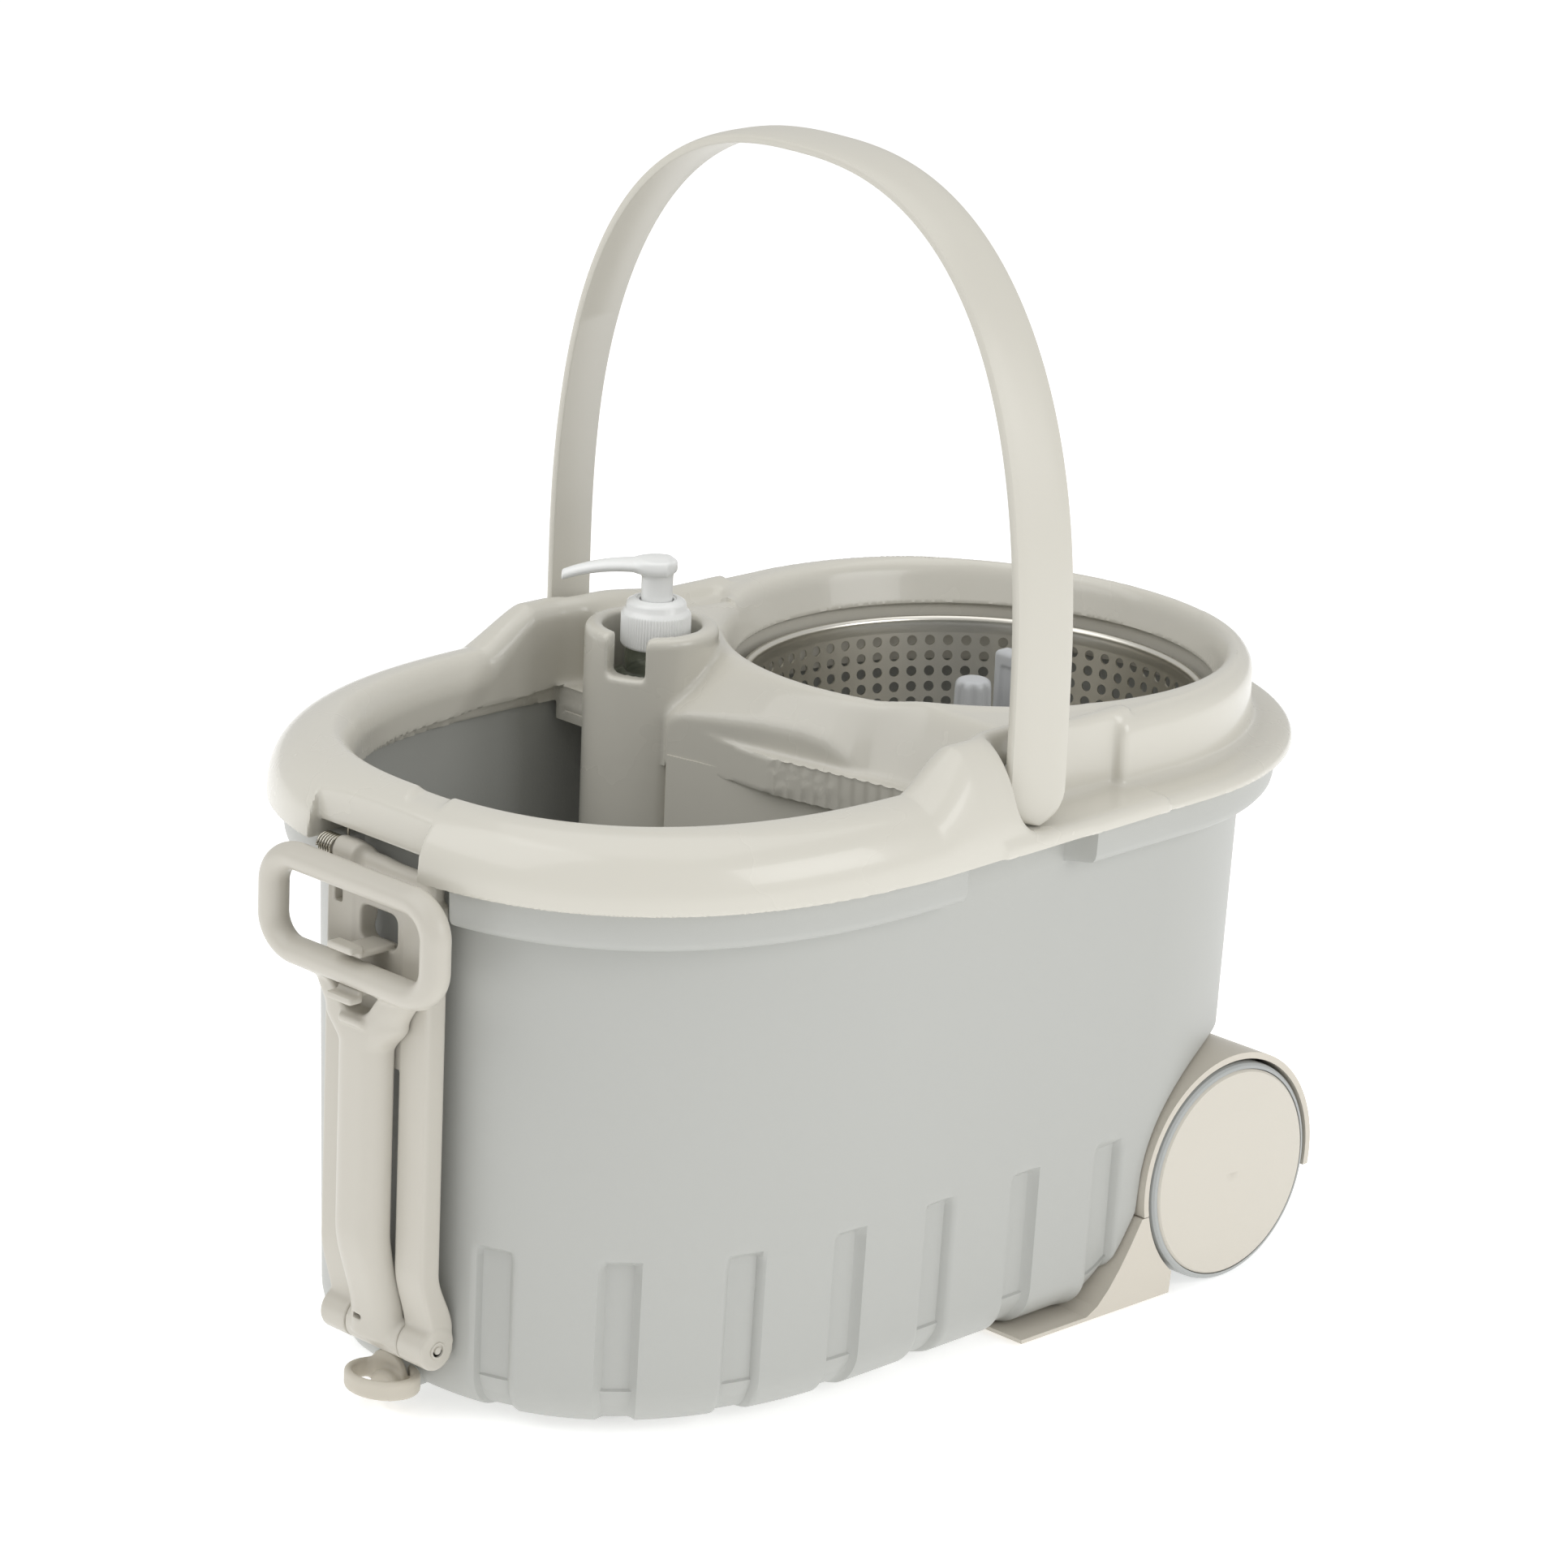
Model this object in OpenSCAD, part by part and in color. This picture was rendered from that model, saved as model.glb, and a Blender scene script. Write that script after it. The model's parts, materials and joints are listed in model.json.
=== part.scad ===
// Wheeled spin-mop bucket: tub, wringer deck, spinning basket, carry handle,
// folding pull handle, wheel carriage and soap pump. Millimetres, +Z up.
// +X runs from the pull handle to the wheels, -Y is the bucket's right side.

/* [Outline] */
// Half width of the rim at its front bow
rim_half_w = 150; // [140:1:160]
// Length of the front bow, from its widest line to the front
bow_len = 175; // [160:1:190]
// Fullness of the front bow, 2 is an ellipse
bow_power = 2.42; // [2.1:0.02:2.8]
// X of the bow's widest line
bow_x = -56; // [-66:1:-46]
// Radius of the round rear end of the rim
tail_r = 146; // [140:1:150]
// X of the centre of the round rear end
tail_x = 98; // [92:1:104]

/* [Tub] */
// Inset of the tub's wall from the rim outline, at the top
wall_inset = 21; // [19:0.5:23]
// Thickness of the tub's wall
wall_t = 2.6; // [2:0.1:3.2]
// Extra inset of the tub's foot at the front
front_taper = 2; // [0:0.5:6]
// Extra inset of the tub's foot at the sides
side_taper = 8; // [4:0.5:10]
// Extra inset of the tub's foot at the rear
rear_taper = 7; // [4:0.5:10]
// Radius of the rounded bottom edge
foot_r = 20; // [14:1:24]
// Height of the tub's floor above the ground
floor_z = 3; // [2:0.5:5]
// Spacing of the flutes round the foot
flute_pitch = 52; // [48:1:56]
// Width of one flute
flute_w = 17; // [12:1:22]
// Depth of one flute
flute_depth = 3.4; // [1.5:0.1:4.5]
// Height of the flutes' round tops
flute_top = 79; // [60:1:100]
// Flutes on each side of the bucket
flutes = 7; // [4:1:7]
// Lower edge of the raised band under the rim
band_z = 215; // [205:1:220]

/* [Rim] */
// Lower edge of the rim's skirt
skirt_z = 233; // [228:1:238]
// Crest of the rim round the wash tank
crest_z = 262; // [256:1:268]
// Inset of that crest from the outline
crest_inset = 24; // [20:1:27]
// Crest of the humps in front of the carry handle
hump_z = 276; // [270:1:282]
// Thickness of the rim's shell
rim_t = 2.5; // [2:0.1:3]
// Top of the ledge that the folded handle rests on
ledge_z = 238.8; // [237:0.2:240]
// Top of the wringer deck
deck_z = 270; // [266:0.5:274]

/* [Wringer] */
// X of the basket's axis
basket_x = 111; // [106:1:114]
// Radius of the deck's opening over the basket
lip_r = 103; // [98:0.5:106]
// Height of that opening's lip
lip_z = 251.5; // [248:0.5:256]
// Outer radius of the collar round the opening
collar_r = 118; // [114:1:120]
// Crest of the collar
collar_z = 272; // [268:0.5:276]
// Gap between the basket's rolled rim and the lip
basket_gap = 1.8; // [1:0.1:3]
// Depth of the basket
basket_h = 86; // [70:1:95]
// Thickness of the basket's sheet
basket_t = 0.8; // [0.6:0.1:1.2]
// Radius of one drain hole
hole_r = 2.4; // [1.5:0.1:3]
// Drain holes round the basket
holes_round = 40; // [24:4:48]
// Rows of drain holes
hole_rows = 5; // [3:1:6]

/* [Carry handle] */
// X of the handle's pivot
pivot_x = 2; // [0:0.5:6]
// Height of the pivot
pivot_z = 255; // [253:0.5:258]
// Height of the handle's top
handle_top = 499; // [470:1:520]
// Half width of the arch
handle_half_w = 140.3; // [139.5:0.1:141]
// Width of the strap
strap_w = 28; // [22:1:29]
// Thickness of the strap
strap_t = 5; // [4:0.2:5.6]
// Turn of the strap's arms, following the rim's flare
strap_turn = 11; // [4:1:12]
// Radius of the pivot pins
pin_r = 4; // [3:0.1:5]

/* [Wheels] */
// Radius of a wheel
wheel_r = 48.6; // [44:0.2:50]
// X of the axle
axle_x = 155.5; // [150:0.5:158]
// Radius of the axle
axle_r = 4; // [3:0.1:5]
// Half width over the wheels' outer faces
track_half_w = 124; // [120:0.5:128]
// Width of a wheel
wheel_w = 28; // [22:1:32]
// Gap between wheel and arch
arch_gap = 1.7; // [1.2:0.1:2.5]
// Thickness of the carriage's shell
carriage_t = 2.8; // [2:0.1:3.5]

/* [Pull handle] */
// X of the frame's front face
frame_x = -230; // [-234:0.5:-228]
// Depth of the frame
frame_d = 11; // [8:0.5:11]
// Half width over the frame's rails
frame_half_w = 36; // [32:0.5:40]
// Width of one rail
rail_w = 12.5; // [9:0.5:13]
// Height of the top hinge
top_hinge_z = 236; // [235:0.5:238]
// X of the bottom hinge
low_hinge_x = -218.5; // [-221:0.5:-218]
// Height of the bottom hinge
low_hinge_z = 33; // [31:0.5:38]
// Radius of the hinge pins
hinge_pin_r = 2.5; // [2:0.1:3]
// Diameter of the grip's tube
grip_d = 12.6; // [10:0.2:14]
// Width over the grip loop
grip_w = 113; // [96:1:116]
// Height over the grip loop
grip_h = 52; // [44:1:54]
// Height of the grip loop's middle
grip_z = 208; // [204:1:212]

/* [Soap pump] */
// X of the bottle's axis
pump_x = -10.5; // [-12:0.5:-6]
// Y of the bottle's axis
pump_y = 71.5; // [66:0.5:74]
// Outer radius of the bottle's tower
tower_r = 28; // [26:0.5:29]
// Depth of the bottle's tower
tower_h = 128; // [100:1:140]
// Top of the tower
tower_top = 278; // [274:0.5:280]
// Top of the pump's closure
closure_top = 289; // [284:0.5:292]
// Top of the pump's head
pump_top = 306; // [303:0.5:310]
// Turn of the nozzle from +X
nozzle_turn = 135; // [90:5:180]

/* [Fits] */
// Radial clearance of a running fit
run_fit = 0.06; // [0.03:0.01:0.1]
// Gap between faces that rest on each other
seat_gap = 0.3; // [0.2:0.05:0.5]

/* [Hidden] */
$fn = 64;

beige = [0.83, 0.81, 0.77];
grey = [0.68, 0.70, 0.71];
dark = [0.25, 0.26, 0.27];
steel = [0.78, 0.78, 0.80];
white = [0.95, 0.95, 0.95];
clear = [0.85, 0.90, 0.86, 0.4];

// ---- outline of the bucket, by arc length round the tub's foot ----
function pow_s(v, p) = v < 0 ? -pow(-v, p) : pow(v, p);
function bow_point(t, cut) = [bow_x - (bow_len - cut[0]) * pow_s(sin(t), 2 / bow_power),
                              (rim_half_w - cut[1]) * pow_s(cos(t), 2 / bow_power)];
function tail_point(t, cut) = [tail_x + (tail_r - cut[2]) * cos(t), (tail_r - cut[2]) * sin(t)];
foot_cut = [wall_inset + front_taper, wall_inset + side_taper, wall_inset + rear_taper];
bow_steps = 120;
bow_track = [for (i = 0, s = 0; i <= bow_steps; i = i + 1,
    s = s + norm(bow_point(180 * min(i, bow_steps) / bow_steps, foot_cut)
               - bow_point(180 * (i - 1) / bow_steps, foot_cut))) [s, 180 * i / bow_steps]];
bow_arc = bow_track[bow_steps][0];
side_run = tail_x - bow_x;
tail_arc = PI * (tail_r - foot_cut[2]) / 2;
front_s = tail_arc + side_run + bow_arc / 2;
whole_s = 2 * front_s;
// point of the outline at arc length s from the rear, inset by cut = [front, side, rear]
function rim_point(s, cut) =
    s <= tail_arc ? tail_point(90 * s / tail_arc, cut)
  : s >= whole_s - tail_arc ? tail_point(-90 * (whole_s - s) / tail_arc, cut)
  : s < tail_arc + side_run ? side_point((s - tail_arc) / side_run, 1, cut)
  : s > whole_s - tail_arc - side_run ? side_point((whole_s - tail_arc - s) / side_run, -1, cut)
  : bow_point(lookup(s - tail_arc - side_run, bow_track), cut);
function side_point(f, way, cut) = [tail_x - side_run * f,
    way * ((tail_r - cut[2]) * (1 - f) + (rim_half_w - cut[1]) * f)];
function even(inset) = [inset, inset, inset];
// half width of the rim's outline beside the tank
function side_half(x) = side_point((tail_x - x) / side_run, 1, even(0))[1];
function ramp(x, a, b) = let (f = max(0, min(1, (x - a) / (b - a)))) f * f * (3 - 2 * f);

// ---- one closed skin from rings of points ----
// rings run from the outside's start round the section and close on the first ring
function ring_faces(rows, n) = [for (i = [0 : rows - 1], j = [0 : n - 1])
    let (a = i * n + j, b = i * n + (j + 1) % n,
         c = ((i + 1) % rows) * n + (j + 1) % n, d = ((i + 1) % rows) * n + j)
    each [[a, b, c], [a, c, d]]];
module loop_skin(rings) {
    n = len(rings[0]);
    polyhedron(points = [for (r = rings) each r], faces = ring_faces(len(rings), n));
}

// ---- wheel arch under the rear of the tub ----
arch_r = wheel_r + arch_gap + carriage_t;
seat_r = arch_r + seat_gap;
arch_foot_x = axle_x - 85.5;
arch_edge = 5;
arch_end = 50;
flare_n = 5;
flare_top = [axle_x - seat_r - 0.2, wheel_r - 0.17 * seat_r];
// underside of the tub over the carriage, from the flare's foot to the rear
flare_line = [for (i = [0 : flare_n]) let (f = i / flare_n)
    [arch_foot_x + (flare_top[0] - arch_foot_x) * f, floor_z + (flare_top[1] - floor_z) * pow(f, 1.5)]];
arc_line = [for (a = [160 : -10 : arch_end]) [axle_x + seat_r * cos(a), wheel_r + seat_r * sin(a)]];
arch_line = concat([[-2 * bow_len, floor_z]], flare_line, [[flare_top[0] + 0.3, wheel_r + 0.12 * seat_r]],
    arc_line, [[2 * bow_len, wheel_r + seat_r * sin(arch_end)]]);
function arch_z(x) = lookup(x, arch_line);
// the same line moved square to itself by t, for the floor's inner face and what stands on it
function flare_move(i, t) = let (slope = 1.5 * (flare_top[1] - floor_z) / (flare_top[0] - arch_foot_x) * sqrt(i / flare_n))
    [flare_line[i][0] - t * slope / norm([1, slope]), flare_line[i][1] + t / norm([1, slope])];
function arch_moved(t) = concat([[-2 * bow_len, floor_z + t]], [for (i = [0 : flare_n]) flare_move(i, t)],
    [[flare_top[0] + 0.4 - 0.87 * t, wheel_r + 0.12 * seat_r]],
    [for (a = [160 : -10 : arch_end]) [axle_x + (seat_r + t) * cos(a), wheel_r + (seat_r + t) * sin(a)]],
    [[2 * bow_len, wheel_r + (seat_r + t) * sin(arch_end)]]);
floor_line = arch_moved(wall_t);

// ---- tub ----
function add(v, d) = [v[0] + d, v[1] + d, v[2] + d];
function merge_sorted(v) = len(v) <= 1 ? v
  : let (p = v[floor(len(v) / 2)])
    concat(merge_sorted([for (x = v) if (x < p - 0.05) x]), [p],
           merge_sorted([for (x = v) if (x > p + 0.05) x]));
flute_slope = 3;
function flute_mid(k) = front_s - k * flute_pitch;
flute_stops = [for (k = [1 : flutes], d = [-flute_w / 2, flute_slope - flute_w / 2, 0, flute_w / 2 - flute_slope,
    flute_w / 2]) flute_mid(k) + d];
gap_stops = [for (k = [0 : flutes - 1], d = [-7, 7]) if (k > 0 || d < 0) front_s - (k + 0.5) * flute_pitch + d];
// stations over the arch, where the underside bends
function s_of_x(x) = x <= tail_x ? tail_arc + tail_x - x
  : tail_arc / 90 * acos((x - tail_x) / (tail_r - wall_cut(arch_z(x))[2] - arch_edge));
arch_stops = [for (i = [1 : len(arch_line) - 2]) s_of_x(arch_line[i][0])];
floor_stops = [for (i = [flare_n : flare_n + 3]) s_of_x(floor_line[i][0])];
rear_s = s_of_x(axle_x + seat_r * cos(arch_end));
rear_stops = [for (i = [0 : 5]) rear_s * i / 6];
band_gap = [-33, 36];
band_stops = [for (x = [band_gap[0] - 6, band_gap[0] - 2, band_gap[0], band_gap[1], band_gap[1] + 2, band_gap[1] + 6])
    tail_arc + tail_x - x];
front_gap = 38;
tub_half = merge_sorted(concat(flute_stops, gap_stops, arch_stops, floor_stops, rear_stops, band_stops,
    [front_s - front_gap - 3, front_s - front_gap, front_s]));
tub_s = concat(tub_half, [for (i = [len(tub_half) - 2 : -1 : 1]) whole_s - tub_half[i]]);
function near_front(s) = s > front_s ? whole_s - s : s;
function flute_at(s) = max([for (k = [1 : flutes])
    max(0, min(1, (flute_w / 2 - abs(near_front(s) - flute_mid(k))) / flute_slope))]);
// how far the raised band stands out: it stops at the pivots and behind the pull handle
function band_at(s) = let (x = rim_point(s, even(0))[0], f = front_s - near_front(s))
    min(1, max(0, max(band_gap[0] - x, x - band_gap[1]) / 5), max(0, (f - front_gap) / 3));
tub_top = crest_z - rim_t - seat_gap - 1;
ledge_under = ledge_z - rim_t - seat_gap;
function wall_cut(z) = let (f = max(0, min(1, (band_z - z) / band_z)))
    [wall_inset + front_taper * f, wall_inset + side_taper * f, wall_inset + rear_taper * f];
function tub_point(s, z, extra) = let (p = rim_point(s, add(wall_cut(z), extra))) [p[0], p[1], z];
// height of the underside at s, where the wall's taper at height z sets the place
function foot_base(s, r, z) = arch_z(rim_point(s, add(wall_cut(z), r))[0]);
function tub_column(s) =
    let (r = foot_r + (arch_edge - foot_r) * ramp(rim_point(s, foot_cut)[0], arch_foot_x - 10, arch_foot_x + 25),
         base = foot_base(s, r, foot_base(s, r, foot_base(s, r, 0))), x0 = rim_point(s, even(0))[0],
         inner = lookup(rim_point(s, add(wall_cut(base), wall_t + r - 1))[0], floor_line),
         wall_top = tub_top + (ledge_under - tub_top) * ramp(x0, -34, -24),
         b = band_at(s), ft = max(flute_top, base + r + 14),
         fd = flute_depth * flute_at(s) * (1 - ramp(base, 30, 50)))
    concat(
        [for (a = [0, 30, 60, 90]) tub_point(s, base + r * (1 - cos(a)), r * (1 - sin(a)) + fd)],
        [tub_point(s, ft - 10, fd), tub_point(s, ft - 3, 0.6 * fd), tub_point(s, ft, 0)],
        [tub_point(s, band_z, 0), tub_point(s, band_z + 3, -8 * b), tub_point(s, band_z + 9, -14 * b),
         tub_point(s, ledge_under - 4, -17 * b), tub_point(s, ledge_under - 3.6, -b)],
        [tub_point(s, wall_top, 0), tub_point(s, wall_top, wall_t), tub_point(s, ft, wall_t),
         tub_point(s, ft - 10, wall_t + fd)],
        [for (a = [90, 60, 30, 0]) tub_point(s, inner + (r - 1) * (1 - cos(a)),
            wall_t + (r - 1) * (1 - sin(a)) + fd)]);
tub_cols = [for (s = tub_s) tub_column(s)];
// the underside and the floor are strips across the width, between mirrored columns
module tub_shell() {
    n = len(tub_s);
    m = len(tub_cols[0]);
    sides = [for (i = [0 : n - 1], j = [0 : m - 2])
        let (a = i * m + j, b = i * m + j + 1, c = ((i + 1) % n) * m + j + 1, d = ((i + 1) % n) * m + j)
        each [[a, b, c], [a, c, d]]];
    half = floor(n / 2);
    under = [for (i = [0 : half - 1])
        let (a = i * m, b = (i + 1) * m, c = (n - i - 1) % n * m, d = (n - i) % n * m)
        each [[a, b, c], if (i > 0) [a, c, d]]];
    floor_f = [for (i = [0 : half - 1])
        let (a = i * m + m - 1, b = (i + 1) * m + m - 1,
             c = (n - i - 1) % n * m + m - 1, d = (n - i) % n * m + m - 1)
        each [[a, c, b], if (i > 0) [a, d, c]]];
    polyhedron(points = [for (c = tub_cols) each c], faces = concat(sides, under, floor_f));
}
// ears that carry the pivot pins, standing through slots in the lid's ledge
ear_out = handle_half_w - strap_t / 2 - 6.2;
ear_t = 3.4;
ear_in = ear_out - ear_t;
ear_r = 11;
slot_gap = 0.8;
ear_root = 5;
module both_sides() for (way = [0, 1]) mirror([0, way, 0]) children();
module across(y, t) translate([0, y, 0]) rotate([90, 0, 0]) linear_extrude(t) children();
module along_y(half) across(half, 2 * half) children();
module ear_plate(grow) {
    across(ear_out + grow, ear_t + 2 * grow) {
        translate([pivot_x, pivot_z]) circle(r = ear_r + grow);
        translate([pivot_x - ear_r - grow, ledge_under - ear_root])
            square([2 * (ear_r + grow), pivot_z - ledge_under + ear_root]);
    }
}
module ear() {
    difference() {
        union() {
            ear_plate(0);
            // root that carries the ear, from inside the wall out to the ear
            root_in = min(ear_in, side_half(pivot_x) - wall_inset - wall_t);
            root_out = max(ear_out, side_half(pivot_x) - wall_inset);
            translate([pivot_x - ear_r, root_in, ledge_under - ear_root])
                cube([2 * ear_r, root_out - root_in, ear_root]);
        }
        across(ear_out + 1, 9) translate([pivot_x, pivot_z]) circle(r = pin_r + run_fit);
    }
}
// spout of the drain, low on the front wall
drain_z = 12.5;
spout_r = 8.5;
spout_bore = 6.5;
spout_x = bow_x - bow_len + foot_cut[0] - 5;
module tub() {
    color(grey) difference() {
        union() {
            tub_shell();
            both_sides() ear();
            translate([spout_x, 0, drain_z]) rotate([0, 90, 0]) cylinder(r = spout_r, h = 12);
        }
        translate([spout_x - 1, 0, drain_z]) rotate([0, 90, 0]) cylinder(r = spout_bore, h = 24);
    }
}

// ---- lid: rim shell, deck, collar, partition and the bottle's tower in one moulding ----
recess_x = [-18, 49];
pin_room = 3.7;
recess_inset = side_half(pivot_x) - ear_in + pin_room;
block_inset = 19;
lip_inset = 34;
arc_n = 5;
// radius from the tail's centre out to the collar's wall, for a point at angle t
function collar_reach(t, r) = let (d = basket_x - tail_x) d * cos(t) + sqrt(r * r - pow(d * sin(t), 2));
function wall_base(s) = let (x = rim_point(s, even(0))[0], t = 90 * min(1, near_front(s) / tail_arc),
    c = tail_r - collar_reach(t, collar_r))
    x < recess_x[1] ? recess_inset : block_inset + (c - block_inset) * ramp(x, recess_x[1] + 10, tail_x);
// section of the rounded skirt: inset and height, outside first
function skirt_line(t, dc, zc) = concat(
    [for (i = [0 : arc_n]) let (a = 90 * i / arc_n)
        [dc - (dc - t) * pow(cos(a), 0.9), skirt_z + (zc - t - skirt_z) * pow(sin(a), 0.8)]],
    [[dc + (lip_inset - dc - t) * 0.75, zc - t - 3.5], [lip_inset - t, zc - t - 11], [lip_inset - t, ledge_z]]);
// section of the step: ledge, wall and the start of the deck
function step_line(t, base, top) =
    [[t, skirt_z], [t + 0.7, ledge_z - t - 2], [t + 3, ledge_z - t], [base - 1, ledge_z - t],
     [base + t, ledge_z + 0.8 - t * 0.84], [base + 0.6 + t, ledge_z - t * 0.9 + (top - ledge_z) * 0.8 + 1],
     [base + 4 + t * 0.7, top - t * 0.8], [base + 8, top - t], [base + 12, top - t]];
function mix(a, b, f) = [for (i = [0 : len(a) - 1]) a[i] * (1 - f) + b[i] * f];
function rim_section(s, t) =
    let (x = rim_point(s, even(0))[0], hump = ramp(x, -58, -36),
         step = ramp(x, recess_x[0] - 1, recess_x[0] + 3),
         top = deck_z + (ledge_z + 0.05 - deck_z) * ramp(x, tail_x - 14, tail_x + 10))
    mix(skirt_line(t, crest_inset - 3 * hump, crest_z + (hump_z - crest_z) * hump),
        step_line(t, wall_base(s), top), step);
function rim_ring(s) =
    let (out = rim_section(s, 0), under = rim_section(s, rim_t))
    concat([for (q = out) concat(rim_point(s, even(q[0])), q[1])],
           [for (i = [len(under) - 1 : -1 : 0]) concat(rim_point(s, even(under[i][0])), under[i][1])]);
function line_s(x) = tail_arc + tail_x - x;
rim_half = merge_sorted(concat(
    [for (i = [0 : 9]) tail_arc * i / 10], [for (i = [0 : 16]) front_s - bow_arc / 2 * (1 - i / 16)],
    [for (x = [-50, -42, -36, recess_x[0] - 2, recess_x[0], recess_x[0] + 3, 20, recess_x[1] - 0.5,
        recess_x[1] + 0.5, 60, 72, 84, 91]) line_s(x)]));
rim_s = concat(rim_half, [for (i = [len(rim_half) - 2 : -1 : 1]) whole_s - rim_half[i]]);
module rim_shell() { loop_skin([for (s = rim_s) rim_ring(s)]); }
// window in the front of the skirt for the pull handle's top hinge
notch_half_w = 32;
notch_top = top_hinge_z + 9.5;
plate_t = 3;
partition_x = pump_x - 3.5;
partition_foot = 66;
collar_t = 3;
crown = 6;
tower_t = 2.5;
notch_turn = 203;
notch_w = 17;
notch_h = 15;
lug_w = 5;
lug_x = frame_x + 1;
module collar_line() {
    // wall, rounded crest and the funnel down to the lip
    polygon(concat(
        [[collar_r - collar_t, ledge_z - 1.5], [collar_r, ledge_z - 1.5], [collar_r - 1.5, collar_z - crown]],
        [for (a = [15 : 15 : 90]) [collar_r - 1.5 - crown + crown * cos(a), collar_z - crown + crown * sin(a)]],
        [[lip_r + 3.5, collar_z - 1.5], [lip_r + 1.2, collar_z - 8], [lip_r, lip_z + 1], [lip_r, lip_z],
         [lip_r + 2, lip_z], [lip_r + 4.5, collar_z - 8], [collar_r - collar_t - 2.5, collar_z - 8]]));
}
// towards the tank the collar flares into a cone, cut off by the partition
flare_run = 0.59;
valley_z = 222;
valley_end = 14;
deck_half = rim_half_w - lip_inset;
partition_y = pump_y - 12;
function flare_r(z) = collar_r - 7 + (collar_z - z) * flare_run;
function flare_z(r) = collar_z - (r - collar_r + 7) / flare_run;
function partition_top(y) = max(valley_z, flare_z(norm([basket_x - partition_x, y]))) - 1;
module collar_flare() {
    intersection() {
        translate([basket_x, 0, 0]) rotate_extrude($fn = 128) polygon([
            [flare_r(collar_z - 3), collar_z - 3], [flare_r(valley_z), valley_z],
            [flare_r(valley_z) - plate_t, valley_z], [flare_r(collar_z - 3) - plate_t, collar_z - 3]]);
        translate([partition_x, -deck_half, valley_z]) cube([valley_end - partition_x + 12, deck_half + partition_y, 60]);
    }
}
// half width of the tank's end wall, clear of the tub's flutes
function tank_half(z) = side_half(partition_x) - wall_cut(z)[1] - wall_t - flute_depth - seat_gap;
module partition() {
    top = deck_z - 1;
    translate([partition_x, 0, 0]) rotate([90, 0, 90]) linear_extrude(plate_t) {
        polygon(concat(
            [[partition_y, partition_foot], [-tank_half(partition_foot), partition_foot],
             [-deck_half - 5, valley_z - 1]],
            [for (f = [0 : 0.05 : 1]) let (y = -deck_half + (deck_half + partition_y) * f) [y, partition_top(y)]]));
        // the tank's end wall goes on behind the tower
        polygon([[partition_y - 1, partition_foot], [tank_half(partition_foot), partition_foot],
            [deck_half + 5, valley_z], [deck_half + 5, ledge_under], [deck_half - 4, top], [partition_y - 1, top]]);
    }
}
module deck() {
    difference() {
        union() {
            translate([partition_x, partition_y - 1, deck_z - plate_t])
                cube([basket_x - partition_x, deck_half + 1 - partition_y, plate_t]);
            // valley beside the near hump, rising towards the handle
            across(0, deck_half) polygon([[partition_x, valley_z], [partition_x + 5, valley_z], [valley_end, deck_z],
                [basket_x, deck_z], [basket_x, deck_z - plate_t], [valley_end + 2, deck_z - plate_t],
                [partition_x + 7, valley_z - plate_t], [partition_x, valley_z - plate_t]]);
        }
        translate([basket_x, 0, 0]) cylinder(r = collar_r - 4, h = 2 * deck_z, $fn = 128);
    }
}
module lid() {
    color(beige) difference() {
        union() {
            rim_shell();
            translate([basket_x, 0, 0]) rotate_extrude($fn = 128) collar_line();
            collar_flare();
            deck();
            partition();
            translate([pump_x, pump_y, tower_top - tower_h]) cylinder(r = tower_r, h = tower_h);
            both_sides() translate([lug_x, notch_half_w, top_hinge_z - 5]) cube([10, lug_w, 12]);
            translate([frame_x + 4, -notch_half_w - 3, notch_top]) cube([3, 2 * notch_half_w + 6, 13]);
        }
        both_sides() ear_plate(slot_gap);
        translate([frame_x - 6, -notch_half_w, skirt_z - 8])
            cube([17, 2 * notch_half_w, notch_top - skirt_z + 8]);
        translate([frame_x - 6, -notch_half_w, notch_top - 1]) cube([10, 2 * notch_half_w, 12]);
        translate([pump_x, pump_y, tower_top - tower_h + tower_t]) cylinder(r = tower_r - tower_t, h = tower_h);
        translate([pump_x, pump_y, tower_top - notch_h]) rotate([0, 0, notch_turn])
            translate([0, -notch_w / 2, 0]) cube([tower_r + 2, notch_w, notch_h + 1]);
        translate([frame_x + 4, notch_half_w + lug_w + 1, top_hinge_z]) rotate([90, 0, 0])
            cylinder(r = hinge_pin_r + run_fit, h = 2 * (notch_half_w + lug_w + 1));
    }
}

// ---- drain plug and feet ----
module drain_plug() {
    plug_x = spout_x - seat_gap;
    color(beige) {
        translate([plug_x, 0, drain_z]) rotate([0, -90, 0]) cylinder(r = spout_r + 2, h = 3.6);
        translate([plug_x - 1, 0, drain_z]) rotate([0, 90, 0]) cylinder(r = spout_bore - 0.3, h = 15);
        translate([plug_x - 13.5, 0, drain_z - 3]) difference() {
            scale([1, 1.4, 1]) cylinder(r = 12.5, h = 8);
            translate([0, 0, -1]) scale([1, 1.42, 1]) cylinder(r = 9.2, h = 10);
        }
    }
}
foot_pad_r = 7;
foot_at = [[-150, 60], [-150, -60], [20, 70], [20, -70]];
module feet() {
    color(dark) for (p = foot_at) translate([p[0], p[1], 0])
        cylinder(r = foot_pad_r, h = floor_z - 0.05);
}

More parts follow.
